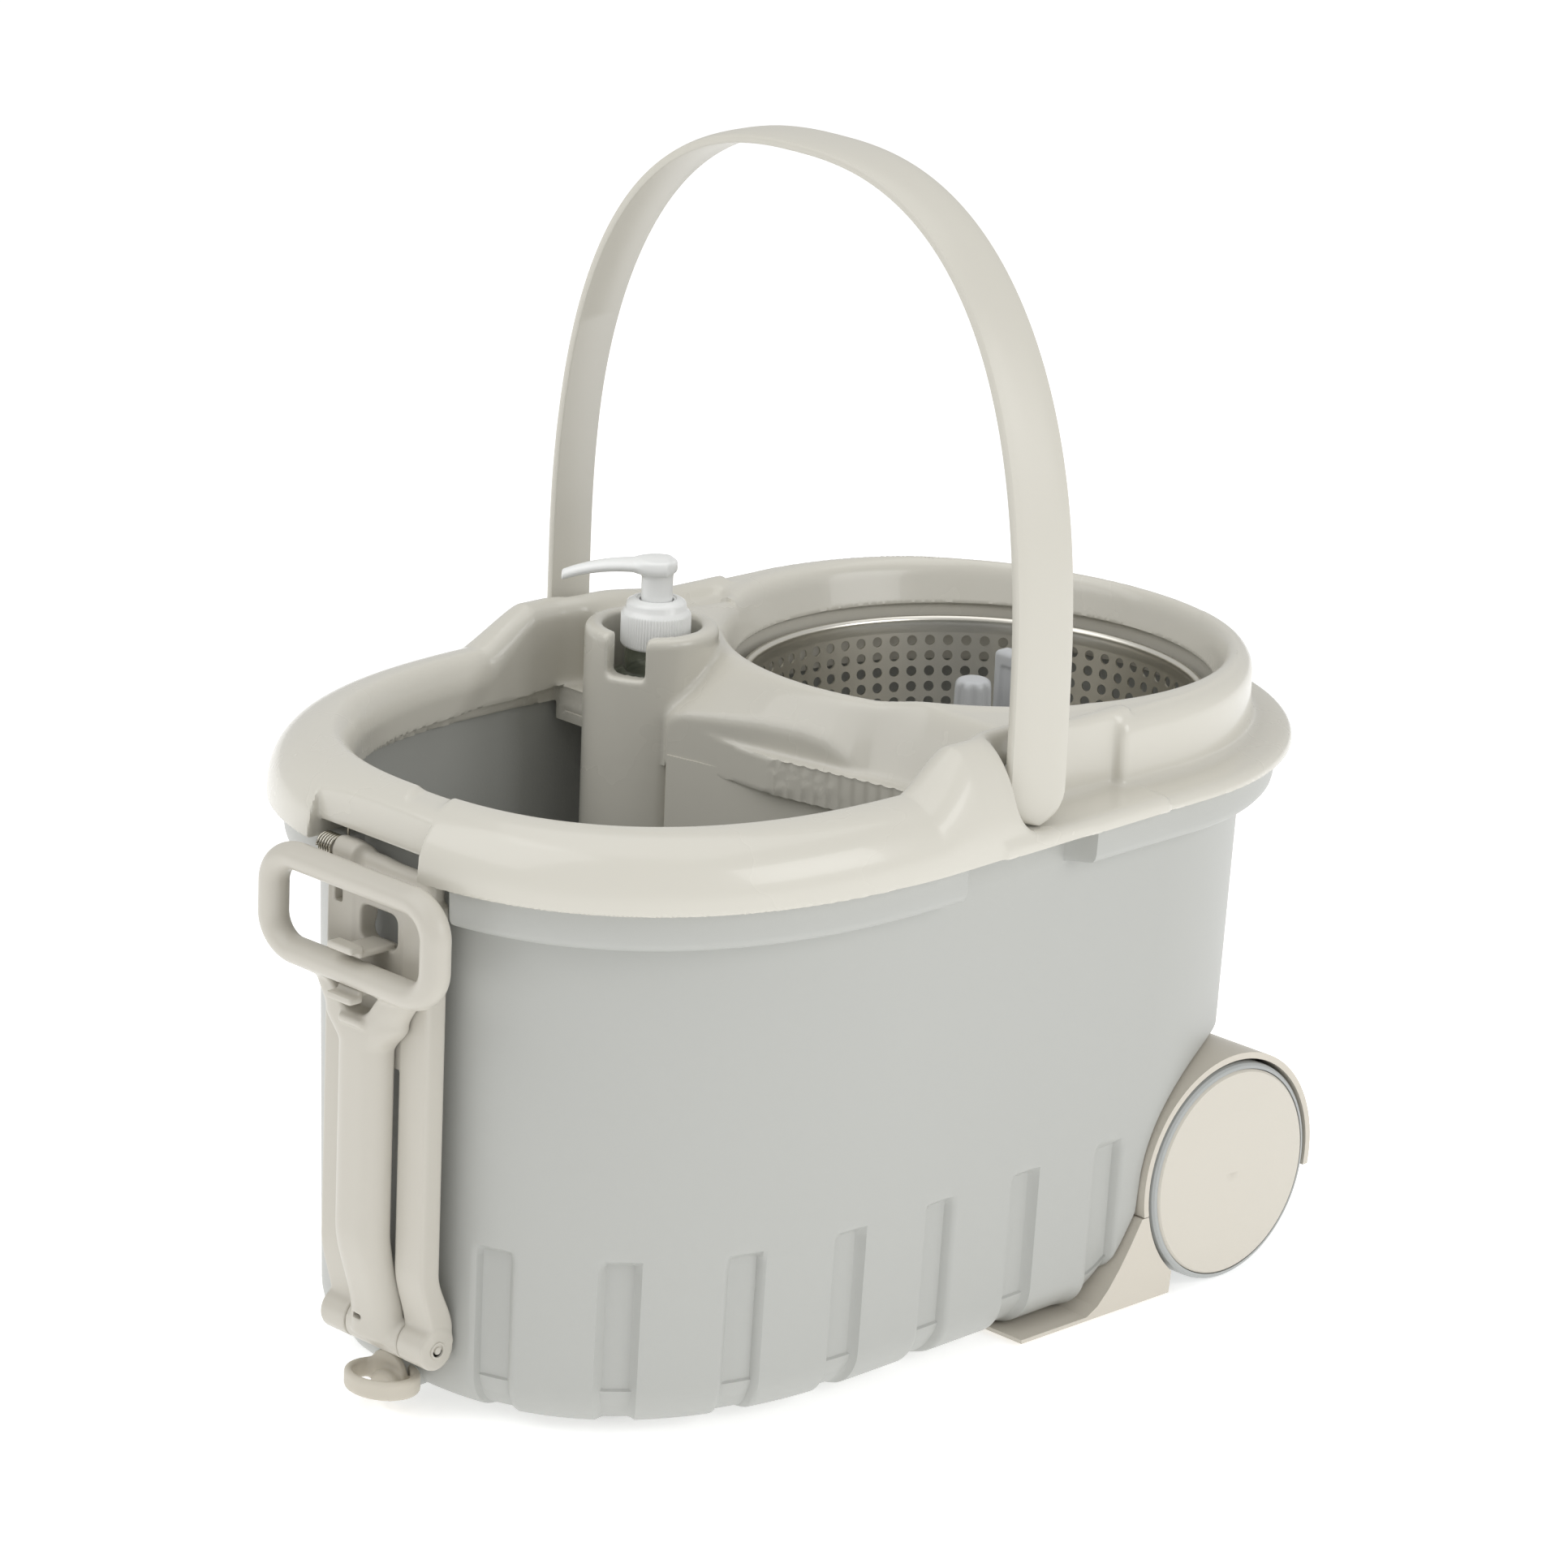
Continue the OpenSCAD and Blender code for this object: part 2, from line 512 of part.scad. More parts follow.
// ---- wheel carriage ----
carriage_half_w = track_half_w - 1;
rib_t = 3;
rib_at = [30, track_half_w - wheel_w - 10];
module arch_hollow(grow) translate([axle_x, wheel_r]) circle(r = wheel_r + arch_gap + grow, $fn = 128);
module carriage_section() {
    difference() {
        union() {
            intersection() {
                translate([axle_x, wheel_r]) circle(r = arch_r, $fn = 128);
                translate([axle_x - 80, wheel_r - 9]) square([160, 90]);
            }
            polygon(concat([for (p = flare_line) [p[0], p[1] - seat_gap]],
                [[axle_x - 30, flare_top[1]], [axle_x - 34, 1], [arch_foot_x, 1]]));
            translate([arch_foot_x - 40, 1]) square([60, floor_z - seat_gap - 1]);
        }
        arch_hollow(0);
        translate([axle_x, wheel_r - 9 - 60]) square([80, 60]);
    }
}
module wheel_carriage() {
    hollow = carriage_half_w - 4;
    color(beige) difference() {
        union() {
            along_y(carriage_half_w) carriage_section();
            for (y = rib_at) both_sides() across(y + rib_t / 2, rib_t) intersection() {
                arch_hollow(1);
                translate([axle_x - 80, 16]) square([160, 90]);
            }
        }
        along_y(track_half_w) translate([axle_x, wheel_r]) circle(r = axle_r + run_fit);
        // pocket under the flare, open below
        along_y(hollow) polygon([[arch_foot_x + 12, 0], [axle_x - 47, 0],
            [axle_x - 56.5, 26], [arch_foot_x + 20, 7]]);
        for (y = screw_y) translate([axle_x, y, wheel_r]) cylinder(r = screw_r + 0.2, h = 2 * arch_r);
    }
}
screw_y = [-68, -14, 14, 68];
screw_r = 2;
module carriage_screws() {
    top = wheel_r + wheel_r + arch_gap - seat_gap;
    color(steel) for (y = screw_y) translate([axle_x, y, top - 2.4]) {
        cylinder(r = 4, h = 2.4);
        cylinder(r = screw_r, h = 2.4 + carriage_t + seat_gap);
    }
}
axle_half = track_half_w - 5;
module axle() {
    color(steel) across(axle_half, 2 * axle_half) translate([axle_x, wheel_r]) circle(r = axle_r);
}
clip_t = 1.2;
hub_out = 8.5;
module axle_clips() {
    color(dark) both_sides() across(track_half_w - hub_out + seat_gap + clip_t, clip_t)
        translate([axle_x, wheel_r]) difference() {
            circle(r = axle_r + 3.5);
            circle(r = axle_r);
        }
}
// hollow moulded wheel, drawn from its outer face inwards: hub, web and rim
tread_r = 2.5;
hub_r = 9;
cap_edge = 2.8;
cap_r = wheel_r - cap_edge;
module wheel_section() {
    polygon(concat(
        [[axle_r + run_fit, 2 - wheel_w], [hub_r, 2 - wheel_w], [hub_r, -9], [wheel_r - 6, -9], [wheel_r - 4, -wheel_w]],
        [for (a = [-90 : 30 : 0]) [wheel_r - tread_r + tread_r * cos(a), tread_r - wheel_w + tread_r * sin(a)]],
        [for (a = [0 : 30 : 60]) [wheel_r - tread_r + tread_r * cos(a), -tread_r + tread_r * sin(a)]],
        [[cap_r + seat_gap, 0], [cap_r + seat_gap, -4], [hub_r + 2, -4], [hub_r, -hub_out], [axle_r + run_fit, -hub_out]]));
}
module at_wheel(way) translate([axle_x, way * track_half_w, wheel_r]) rotate([-90 * way, 0, 0]) children();
module wheel(way) { color(grey) at_wheel(way) rotate_extrude($fn = 96) wheel_section(); }
module hub_cap(way) {
    color(beige) at_wheel(way) rotate_extrude($fn = 96)
        polygon([[0, -2.2], [cap_r - 3, -3.8], [cap_r, -3.8], [cap_r, -0.5], [cap_r - 1, 0.6], [cap_r * 0.6, 1.4], [0, 1.8]]);
}
module wheel_left() { wheel(1); }
module wheel_right() { wheel(-1); }
module hub_cap_left() { hub_cap(1); }
module hub_cap_right() { hub_cap(-1); }

// ---- carry handle: a strap swept over an arch ----
arch_base_z = 290;
arch_power = 2.45;
arch_steps = 20;
strap_half = strap_w / 2;
function arch_centre(f) = let (a = 90 * f)
    [handle_half_w * pow_s(cos(a), 2 / arch_power),
     arch_base_z + (handle_top - strap_t / 2 - arch_base_z) * pow_s(sin(a), 2 / arch_power)];
half_arch = concat(
    [for (a = [80, 60, 40, 20]) [handle_half_w, pivot_z - strap_half * sin(a)]],
    [[handle_half_w, pivot_z], [handle_half_w, pivot_z + (arch_base_z - pivot_z) / 2]],
    [for (i = [0 : arch_steps]) arch_centre(i / arch_steps)]);
strap_path = concat(half_arch, [for (i = [len(half_arch) - 2 : -1 : 0]) [-half_arch[i][0], half_arch[i][1]]]);
function heading(i) = let (n = len(strap_path) - 1, d = strap_path[min(n, i + 1)] - strap_path[max(0, i - 1)])
    d / norm(d);
// corners of the strap's section: x across the strap, y outwards, with soft edges
edge = 1.4;
strap_corners = [[-strap_half + edge, strap_t / 2], [strap_half - edge, strap_t / 2],
    [strap_half, strap_t / 2 - edge], [strap_half, edge - strap_t / 2], [strap_half - edge, -strap_t / 2],
    [-strap_half + edge, -strap_t / 2], [-strap_half, edge - strap_t / 2], [-strap_half, strap_t / 2 - edge]];
function strap_ring(i) =
    let (p = strap_path[i], h = heading(i), turn = strap_turn * ramp(handle_top - p[1], 0, 150),
         narrow = p[1] < pivot_z ? sqrt(1 - pow((pivot_z - p[1]) / strap_half, 2)) : 1)
    [for (q = strap_corners) let (u = q[0] * narrow, v = q[1] + u * sin(turn))
        [pivot_x + u * cos(turn), p[0] + h[1] * v, p[1] - h[0] * v]];
pin_end = handle_half_w + 0.7;
module carry_handle() {
    n = len(strap_corners);
    rows = len(strap_path);
    color(beige) difference() {
        polyhedron(points = [for (i = [0 : rows - 1]) each strap_ring(i)],
            faces = concat(
                [for (i = [0 : rows - 2], j = [0 : n - 1])
                    let (a = i * n + j, b = i * n + (j + 1) % n, c = (i + 1) * n + (j + 1) % n, d = (i + 1) * n + j)
                    each [[a, b, c], [a, c, d]]],
                [[for (j = [n - 1 : -1 : 0]) j]], [[for (j = [0 : n - 1]) (rows - 1) * n + j]]));
        both_sides() across(pin_end, 8) translate([pivot_x, pivot_z]) circle(r = pin_r);
    }
}
boss_end = handle_half_w - strap_t / 2 - 2;
module handle_pins() {
    color(beige) both_sides() {
        across(pin_end, pin_end - ear_in + 1) translate([pivot_x, pivot_z]) circle(r = pin_r);
        across(boss_end, boss_end - ear_out - seat_gap) translate([pivot_x, pivot_z]) circle(r = ear_r - 3);
    }
}

// ---- pull handle ----
knuckle_r = 9;
arm_half_w = 18;
arm_t = 8;
arm_gap = 0.4;
arm_back = frame_x - arm_gap;
shoulder_half_w = 26;
eye_r = 5.5;
eye_half_w = 31;
eye_x = frame_x + 4;
bend_z = low_hinge_z + 33;
plate_foot = grip_z - 58;
plate_head = top_hinge_z - 10;
function curve(a, b, c, n) = [for (i = [0 : n]) let (f = i / n) a * (1 - f) * (1 - f) + b * 2 * f * (1 - f) + c * f * f];
module low_eye(r) translate([low_hinge_x, low_hinge_z]) circle(r = r);
module rail_side() {
    low_eye(knuckle_r);
    polygon([[frame_x, plate_head - 4], [frame_x, bend_z], [low_hinge_x - knuckle_r, low_hinge_z + 2],
        [low_hinge_x + knuckle_r, low_hinge_z + 1], [frame_x + frame_d, bend_z + 2], [frame_x + frame_d, plate_head - 4]]);
}
module head_side() {
    translate([eye_x, top_hinge_z]) circle(r = eye_r);
    polygon([[eye_x - eye_r, top_hinge_z], [frame_x, plate_head - 14], [frame_x, plate_head - 30],
        [frame_x + frame_d - 1, plate_head - 30], [frame_x + frame_d - 1, plate_head - 8], [eye_x + eye_r, top_hinge_z]]);
}
bar_z = grip_z - grip_h / 2 + grip_d / 2;
grip_x = arm_back - arm_t / 2 - 3.3;
clip_half_w = 9;
module pull_frame() {
    arm_room = arm_half_w + 1;
    color(beige) difference() {
        union() {
            for (way = [0, 1]) mirror([0, way, 0]) across(frame_half_w, rail_w) rail_side();
            across(-arm_room, frame_half_w - rail_w - arm_room + 1) low_eye(knuckle_r);
            across(frame_half_w - rail_w + 1, frame_half_w - rail_w - arm_room + 1) low_eye(knuckle_r);
            across(eye_half_w - 6.4, 2 * eye_half_w - 6.4) head_side();
            translate([frame_x + 1, -frame_half_w + 1, plate_foot])
                cube([frame_d - 2, 2 * frame_half_w - 2, plate_head - plate_foot - 5]);
            // tabs that clip over and under the grip's lower bar
            for (z = [bar_z + grip_d / 2 + 0.6, bar_z - grip_d / 2 - 4])
                translate([frame_x - 12.5, -clip_half_w, z]) cube([15, 2 * clip_half_w, 2.6]);
        }
        along_y(frame_half_w + 1) translate([eye_x, top_hinge_z]) circle(r = hinge_pin_r + run_fit);
        along_y(frame_half_w + 1) low_eye(hinge_pin_r + run_fit);
        translate([frame_x, -22, grip_z - 14]) cube([20, 17, 24]);
        translate([frame_x, 13, grip_z + 2]) cube([20, 4, 4]);
    }
}
module top_hinge_pin() {
    color(steel) along_y(notch_half_w + lug_w - 0.5) translate([eye_x, top_hinge_z]) circle(r = hinge_pin_r);
}
module low_hinge_pin() {
    color(steel) along_y(frame_half_w - 0.6) low_eye(hinge_pin_r);
}
wire_r = 0.7;
coil_r = hinge_pin_r + wire_r + 0.5;
coils = 4;
module hinge_spring() {
    color(steel) {
        translate([eye_x, eye_half_w - 0.8, top_hinge_z]) rotate([90, 0, 0]) rotate_extrude()
            for (i = [0 : coils - 1]) translate([coil_r, wire_r + 1.3 * i]) circle(r = wire_r, $fn = 24);
        translate([eye_x + coil_r, eye_half_w - 0.8 - wire_r, top_hinge_z]) cylinder(r = wire_r * 0.98, h = 9, $fn = 24);
    }
}
module arm_side() {
    front = arm_back - arm_t;
    polygon(concat([[front, bar_z], [front, bend_z + 22]],
        curve([front, bend_z + 20], [front, bend_z - 4], [low_hinge_x - knuckle_r * 0.9, low_hinge_z], 6),
        curve([low_hinge_x + knuckle_r * 0.6, low_hinge_z + 6], [arm_back, bend_z], [arm_back, bend_z + 24], 6),
        [[arm_back, bar_z]]));
}
module arm_front() {
    // outline seen from the front: straight arm with shoulders under the grip
    difference() {
        polygon([[-arm_half_w, low_hinge_z], [arm_half_w, low_hinge_z], [arm_half_w, bar_z - 34],
            [shoulder_half_w, bar_z - 24], [shoulder_half_w, bar_z], [-shoulder_half_w, bar_z],
            [-shoulder_half_w, bar_z - 24], [-arm_half_w, bar_z - 34]]);
        translate([-11, bar_z - 20]) square([22, 15]);
    }
}
loop_r = 15;
module grip_loop() {
    y0 = grip_w / 2 - grip_d / 2 - loop_r;
    z0 = grip_h / 2 - grip_d / 2 - loop_r;
    translate([grip_x, 0, grip_z]) {
        for (way = [-1, 1]) {
            translate([0, -y0, way * (z0 + loop_r)]) rotate([-90, 0, 0]) cylinder(d = grip_d, h = 2 * y0);
            translate([0, way * (y0 + loop_r), -z0]) cylinder(d = grip_d, h = 2 * z0);
        }
        for (q = [0 : 3]) {
            sy = q == 0 || q == 3 ? 1 : -1;
            sz = q < 2 ? 1 : -1;
            translate([0, sy * y0, sz * z0]) rotate([0, 90, 0]) rotate([0, 0, 90])
                rotate([0, 0, [90, 180, 270, 0][q] - 90])
                rotate_extrude(angle = 90) translate([loop_r, 0]) circle(d = grip_d);
        }
    }
}
module pull_arm() {
    color(beige) difference() {
        union() {
            intersection() {
                along_y(shoulder_half_w) arm_side();
                translate([arm_back - 40, 0, 0]) rotate([90, 0, 90]) linear_extrude(80) arm_front();
            }
            along_y(arm_half_w) low_eye(knuckle_r - 0.3);
            grip_loop();
        }
        along_y(arm_half_w + 1) low_eye(hinge_pin_r + run_fit);
    }
}

// ---- basket and spindle ----
spindle_r = 4;
bush_r = 6;
hub_tube_r = 7.7;
post_top = 150;
rim_roll = 2;
basket_top = lip_z - 4;
basket_out = lip_r - basket_gap;
basket_foot_r = basket_out - 10;
basket_z = basket_top - basket_h;
base_r = basket_foot_r - 14;
module post_foot() {
    // block standing on the sloping floor of the tub
    difference() {
        translate([basket_x, 0, 20]) cylinder(r1 = 18, r2 = 11, h = post_top - 20);
        along_y(30) polygon(concat(arch_moved(wall_t + seat_gap), [[2 * bow_len, -20], [-2 * bow_len, -20]]));
    }
}
module spindle_post() {
    color(grey) difference() {
        post_foot();
        translate([basket_x, 0, post_top - 22]) cylinder(r = spindle_r, h = 30);
    }
}
module spindle() {
    color(steel) translate([basket_x, 0, post_top - 22]) cylinder(r = spindle_r, h = 22 + 60);
}
module thrust_washer() {
    color(white) translate([basket_x, 0, post_top]) difference() {
        cylinder(r = hub_tube_r + 1, h = 1.5);
        translate([0, 0, -1]) cylinder(r = spindle_r + run_fit, h = 4);
    }
}
hub_foot = post_top + 1.5 + seat_gap;
module hub_bush() {
    color(white) translate([basket_x, 0, hub_foot]) difference() {
        cylinder(r = bush_r, h = 50);
        translate([0, 0, -1]) cylinder(r = spindle_r + run_fit, h = 60);
    }
}
drive_top = 243;
module drive_hub() {
    color(white) translate([basket_x, 0, 0]) difference() {
        union() {
            translate([0, 0, hub_foot]) cylinder(r = hub_tube_r + 3, h = basket_z + 18 - hub_foot);
            translate([0, 0, hub_foot]) cylinder(r = hub_tube_r, h = drive_top - hub_foot);
        }
        translate([0, 0, hub_foot - 1]) cylinder(r = bush_r, h = 51);
        translate([0, 0, hub_foot + 40]) cylinder(r = spindle_r + 1, h = 36);
        for (a = [0 : 45 : 315]) rotate([0, 0, a]) translate([hub_tube_r + 0.6, 0, drive_top - 40])
            cylinder(r = 1.8, h = 50, $fn = 24);
    }
}
row_pitch = (basket_h - 22) / max(1, hole_rows - 1);
module basket() {
    color(white) translate([basket_x, 0, 0]) difference() {
        rotate_extrude($fn = 128) {
            polygon([[basket_foot_r, basket_z], [basket_out - rim_roll, basket_top - rim_roll],
                [basket_out - rim_roll - basket_t, basket_top - rim_roll],
                [basket_foot_r - basket_t, basket_z + basket_t], [base_r - 8, basket_z + basket_t],
                [base_r - 8, basket_z]]);
            translate([basket_out - rim_roll, basket_top - rim_roll]) circle(r = rim_roll, $fn = 32);
        }
        for (i = [0 : hole_rows - 1], k = [0 : holes_round - 1])
            translate([0, 0, basket_z + 10 + i * row_pitch]) rotate([0, 90, 360 / holes_round * (k + (i % 2) / 2)])
                translate([0, 0, basket_foot_r - 4]) cylinder(r = hole_r, h = 18, $fn = 16);
    }
}
base_t = 3;
base_z = basket_z + basket_t + seat_gap;
module basket_base() {
    color(white) translate([basket_x, 0, base_z]) difference() {
        cylinder(r = base_r, h = base_t, $fn = 128);
        translate([0, 0, -1]) cylinder(r = hub_tube_r + 3.05, h = base_t + 2);
        for (ring = [26, 42, 58], a = [0 : 30 : 330]) rotate([0, 0, a + ring]) translate([ring, 0, -1])
            cylinder(r = 3, h = base_t + 2, $fn = 24);
        for (a = [0 : 60 : 300]) rotate([0, 0, a]) translate([base_r - 4, 0, -1]) cylinder(r = 1.6, h = base_t + 2);
    }
}
module base_rivets() {
    color(steel) for (a = [0 : 60 : 300]) translate([basket_x, 0, base_z]) rotate([0, 0, a])
        translate([base_r - 4, 0, 0]) {
            cylinder(r = 1.5, h = base_t + 0.2);
            translate([0, 0, base_t + 0.2]) cylinder(r = 3, h = 1.2);
        }
}

// ---- soap pump ----
bottle_r = tower_r - tower_t - 0.7;
bottle_foot = tower_top - tower_h + tower_t + seat_gap;
neck_r = 13;
neck_top = closure_top - 5.5;
shoulder_z = tower_top - 22;
closure_r = 14.8;
closure_foot = closure_top - 19.5;
plunger_r = 7;
barrel_r = 9;
barrel_foot = closure_top - 46;
nozzle_length = 36;
nozzle_r = 3.4;
dip_r = 2.2;
bottle_t = 1.2;
module at_pump() translate([pump_x, pump_y, 0]) children();
module bottle() {
    color(clear) at_pump() rotate_extrude() polygon([
        [0, bottle_foot], [bottle_r - 2, bottle_foot], [bottle_r, bottle_foot + 2], [bottle_r, shoulder_z - 8],
        [bottle_r - 3, shoulder_z - 2], [neck_r, shoulder_z + 2], [neck_r, neck_top],
        [neck_r - bottle_t, neck_top], [neck_r - bottle_t, shoulder_z + 1], [bottle_r - 4, shoulder_z - 3],
        [bottle_r - bottle_t, shoulder_z - 9], [bottle_r - bottle_t, bottle_foot + 3],
        [bottle_r - 3, bottle_foot + bottle_t], [0, bottle_foot + bottle_t]]);
}
module dip_tube() {
    color(white) at_pump() difference() {
        translate([0, 0, bottle_foot + 4]) cylinder(r = dip_r, h = barrel_foot - bottle_foot - 4 + 1.5);
        translate([0, 0, bottle_foot + 3]) cylinder(r = dip_r - 0.6, h = tower_h);
    }
}
module pump_closure() {
    color(white) at_pump() difference() {
        union() {
            translate([0, 0, closure_foot]) cylinder(r = closure_r, h = closure_top - closure_foot - 4);
            translate([0, 0, closure_top - 4]) cylinder(r1 = closure_r - 0.8, r2 = closure_r - 5, h = 4);
            translate([0, 0, barrel_foot]) cylinder(r = barrel_r, h = closure_top - barrel_foot - 2);
        }
        difference() {
            translate([0, 0, closure_foot - 1]) cylinder(r = neck_r + seat_gap, h = neck_top + seat_gap - closure_foot + 1);
            translate([0, 0, closure_foot - 2]) cylinder(r = barrel_r, h = 30);
        }
        translate([0, 0, barrel_foot + 2]) cylinder(r = plunger_r + run_fit, h = 60);
        translate([0, 0, barrel_foot - 1]) cylinder(r = dip_r, h = 4);
    }
}
module pump_head() {
    color(white) at_pump() {
        difference() {
            union() {
                translate([0, 0, closure_top - 12]) cylinder(r = plunger_r, h = pump_top - closure_top + 11);
                translate([0, 0, pump_top - 8]) cylinder(r = plunger_r + 1, h = 7);
                rotate([0, 0, nozzle_turn]) translate([0, 0, pump_top - nozzle_r - 0.6]) rotate([0, 96, 0]) cylinder(r = nozzle_r, h = nozzle_length);
            }
            rotate([0, 0, nozzle_turn]) translate([0, 0, pump_top - nozzle_r - 0.6]) rotate([0, 96, 0])
                translate([0, 0, 10]) cylinder(r = nozzle_r - 1.4, h = nozzle_length);
        }
    }
}
module pump_stem() {
    color(white) at_pump() difference() {
        translate([0, 0, closure_top - 30]) cylinder(r = 3, h = 18);
        translate([0, 0, closure_top - 31]) cylinder(r = 1.6, h = 16);
    }
}

tub();
lid();
drain_plug();
feet();
wheel_carriage();
carriage_screws();
axle();
axle_clips();
wheel_left();
wheel_right();
hub_cap_left();
hub_cap_right();
carry_handle();
handle_pins();
pull_frame();
top_hinge_pin();
hinge_spring();
pull_arm();
low_hinge_pin();
spindle_post();
spindle();
thrust_washer();
basket();
basket_base();
drive_hub();
hub_bush();
base_rivets();
bottle();
dip_tube();
pump_closure();
pump_head();
pump_stem();
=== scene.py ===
import json
import math
from itertools import product

import bpy
import numpy as np
from mathutils import Matrix, Vector


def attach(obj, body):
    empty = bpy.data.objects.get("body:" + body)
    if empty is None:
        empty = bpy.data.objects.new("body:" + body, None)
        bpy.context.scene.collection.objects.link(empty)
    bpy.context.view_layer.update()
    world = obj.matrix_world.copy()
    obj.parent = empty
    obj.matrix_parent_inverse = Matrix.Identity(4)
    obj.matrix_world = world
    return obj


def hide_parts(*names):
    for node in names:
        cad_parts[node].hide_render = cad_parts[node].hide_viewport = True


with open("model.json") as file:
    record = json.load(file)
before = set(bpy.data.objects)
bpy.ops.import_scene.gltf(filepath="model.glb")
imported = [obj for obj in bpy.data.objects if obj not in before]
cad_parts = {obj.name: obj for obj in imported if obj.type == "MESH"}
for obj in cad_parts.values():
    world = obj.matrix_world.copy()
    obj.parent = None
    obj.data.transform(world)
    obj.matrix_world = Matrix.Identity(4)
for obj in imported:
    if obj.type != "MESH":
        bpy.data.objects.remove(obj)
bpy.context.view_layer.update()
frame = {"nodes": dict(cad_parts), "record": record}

MM = 0.001

# ---------------------------------------------------------------- materials


GRAIN_SCALE, GRAIN_DEPTH = 900.0, 0.0004
MOTTLE_SCALE = 14.0
COAT_ROUGH = 0.06


def material(name, colour, rough, metal=0.0, coat=0.0, grain=0.0, mottle=0.0, glass=0.0, ior=1.46):
    """A principled material; grain is a fine bump, mottle a faint change of gloss."""
    m = bpy.data.materials.new(name)
    m.use_nodes = True
    nodes, links = m.node_tree.nodes, m.node_tree.links
    shader = nodes["Principled BSDF"]
    shader.inputs["Base Color"].default_value = (*colour, 1.0)
    shader.inputs["Roughness"].default_value = rough
    shader.inputs["Metallic"].default_value = metal
    shader.inputs["Coat Weight"].default_value = coat
    shader.inputs["Coat Roughness"].default_value = COAT_ROUGH
    shader.inputs["Transmission Weight"].default_value = glass
    shader.inputs["IOR"].default_value = ior
    place = nodes.new("ShaderNodeTexCoord")

    def noise(scale, detail):
        node = nodes.new("ShaderNodeTexNoise")
        node.inputs["Scale"].default_value = scale
        node.inputs["Detail"].default_value = detail
        links.new(place.outputs["Object"], node.inputs["Vector"])
        return node

    if grain > 0:
        bump = nodes.new("ShaderNodeBump")
        bump.inputs["Strength"].default_value = grain
        bump.inputs["Distance"].default_value = GRAIN_DEPTH
        links.new(noise(GRAIN_SCALE, 3.0).outputs["Fac"], bump.inputs["Height"])
        links.new(bump.outputs["Normal"], shader.inputs["Normal"])
    if mottle > 0:
        gloss = nodes.new("ShaderNodeMapRange")
        gloss.inputs["To Min"].default_value = rough - mottle
        gloss.inputs["To Max"].default_value = rough + mottle
        links.new(noise(MOTTLE_SCALE, 4.0).outputs["Fac"], gloss.inputs["Value"])
        links.new(gloss.outputs["Result"], shader.inputs["Roughness"])
    return m


def linear(r, g, b):
    """Linear colour from display values of 0 to 255."""
    return tuple(
        ((c / 255 + 0.055) / 1.055) ** 2.4 if c > 10 else c / 255 / 12.92 for c in (r, g, b)
    )


# slot: display colour, roughness, and what else differs from a plain material
LOOKS = {
    "grey_plastic": ((178, 179, 175), 0.42, dict(grain=0.12, mottle=0.03)),
    "beige_plastic": ((207, 204, 194), 0.27, dict(coat=0.35, mottle=0.02)),
    "plug_rubber": ((196, 190, 177), 0.5, dict(grain=0.1)),
    "black_rubber": ((35, 35, 35), 0.7, {}),
    "carriage_plastic": ((206, 200, 188), 0.38, dict(grain=0.12, mottle=0.03)),
    "steel": ((190, 190, 188), 0.28, dict(metal=1.0)),
    "clip_plastic": ((90, 92, 95), 0.4, {}),
    "wheel_plastic": ((172, 175, 174), 0.42, dict(grain=0.12, mottle=0.03)),
    "cap_plastic": ((208, 203, 192), 0.42, dict(grain=0.14, mottle=0.03)),
    "handle_plastic": ((203, 200, 190), 0.34, dict(grain=0.05, mottle=0.03)),
    "pull_plastic": ((194, 190, 180), 0.32, dict(grain=0.05, mottle=0.03)),
    "spring_steel": ((190, 186, 175), 0.2, dict(metal=1.0)),
    "basket_steel": ((226, 223, 214), 0.3, dict(metal=1.0)),
    "white_plastic": ((188, 190, 192), 0.35, {}),
    "bottle_plastic": ((214, 220, 205), 0.06, dict(glass=0.9, ior=1.45)),
    "pump_plastic": ((240, 241, 240), 0.22, dict(coat=0.3)),
}
M = {
    name: material(name, linear(*colour), rough, **more)
    for name, (colour, rough, more) in LOOKS.items()
}
NODE_SHARP = 32
slots = {p["node"]: p["material_slot"] for p in frame["record"]["subparts"]}

for name, o in frame["nodes"].items():
    o.data.materials.clear()
    o.data.materials.append(M[slots[name]])
    for p in o.data.polygons:
        p.use_smooth = True
    o.data.set_sharp_from_angle(angle=math.radians(NODE_SHARP))

# ---------------------------------------------------------------- meshes


def piece(name, points, faces, slot, body, replaces=(), sharp=None):
    """A mesh from points in millimetres, riding on a body and standing for CAD nodes."""
    mesh = bpy.data.meshes.new(name)
    points = np.asarray(points, np.float64) * MM
    if isinstance(faces, np.ndarray):
        k = faces.shape[1]
        mesh.vertices.add(len(points))
        mesh.vertices.foreach_set("co", points.astype(np.float32).ravel())
        mesh.loops.add(faces.size)
        mesh.loops.foreach_set("vertex_index", faces.astype(np.int32).ravel())
        mesh.polygons.add(len(faces))
        mesh.polygons.foreach_set("loop_start", np.arange(0, faces.size, k, dtype=np.int32))
        mesh.update(calc_edges=True)
    else:
        mesh.from_pydata([tuple(p) for p in points], [], faces)
    mesh.validate()
    mesh.polygons.foreach_set("use_smooth", [True] * len(mesh.polygons))
    if sharp:
        mesh.set_sharp_from_angle(angle=math.radians(sharp))
    mesh.materials.append(M[slot])
    o = bpy.data.objects.new(name, mesh)
    bpy.context.scene.collection.objects.link(o)
    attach(o, body)
    for node in replaces:
        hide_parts(node)
    return o


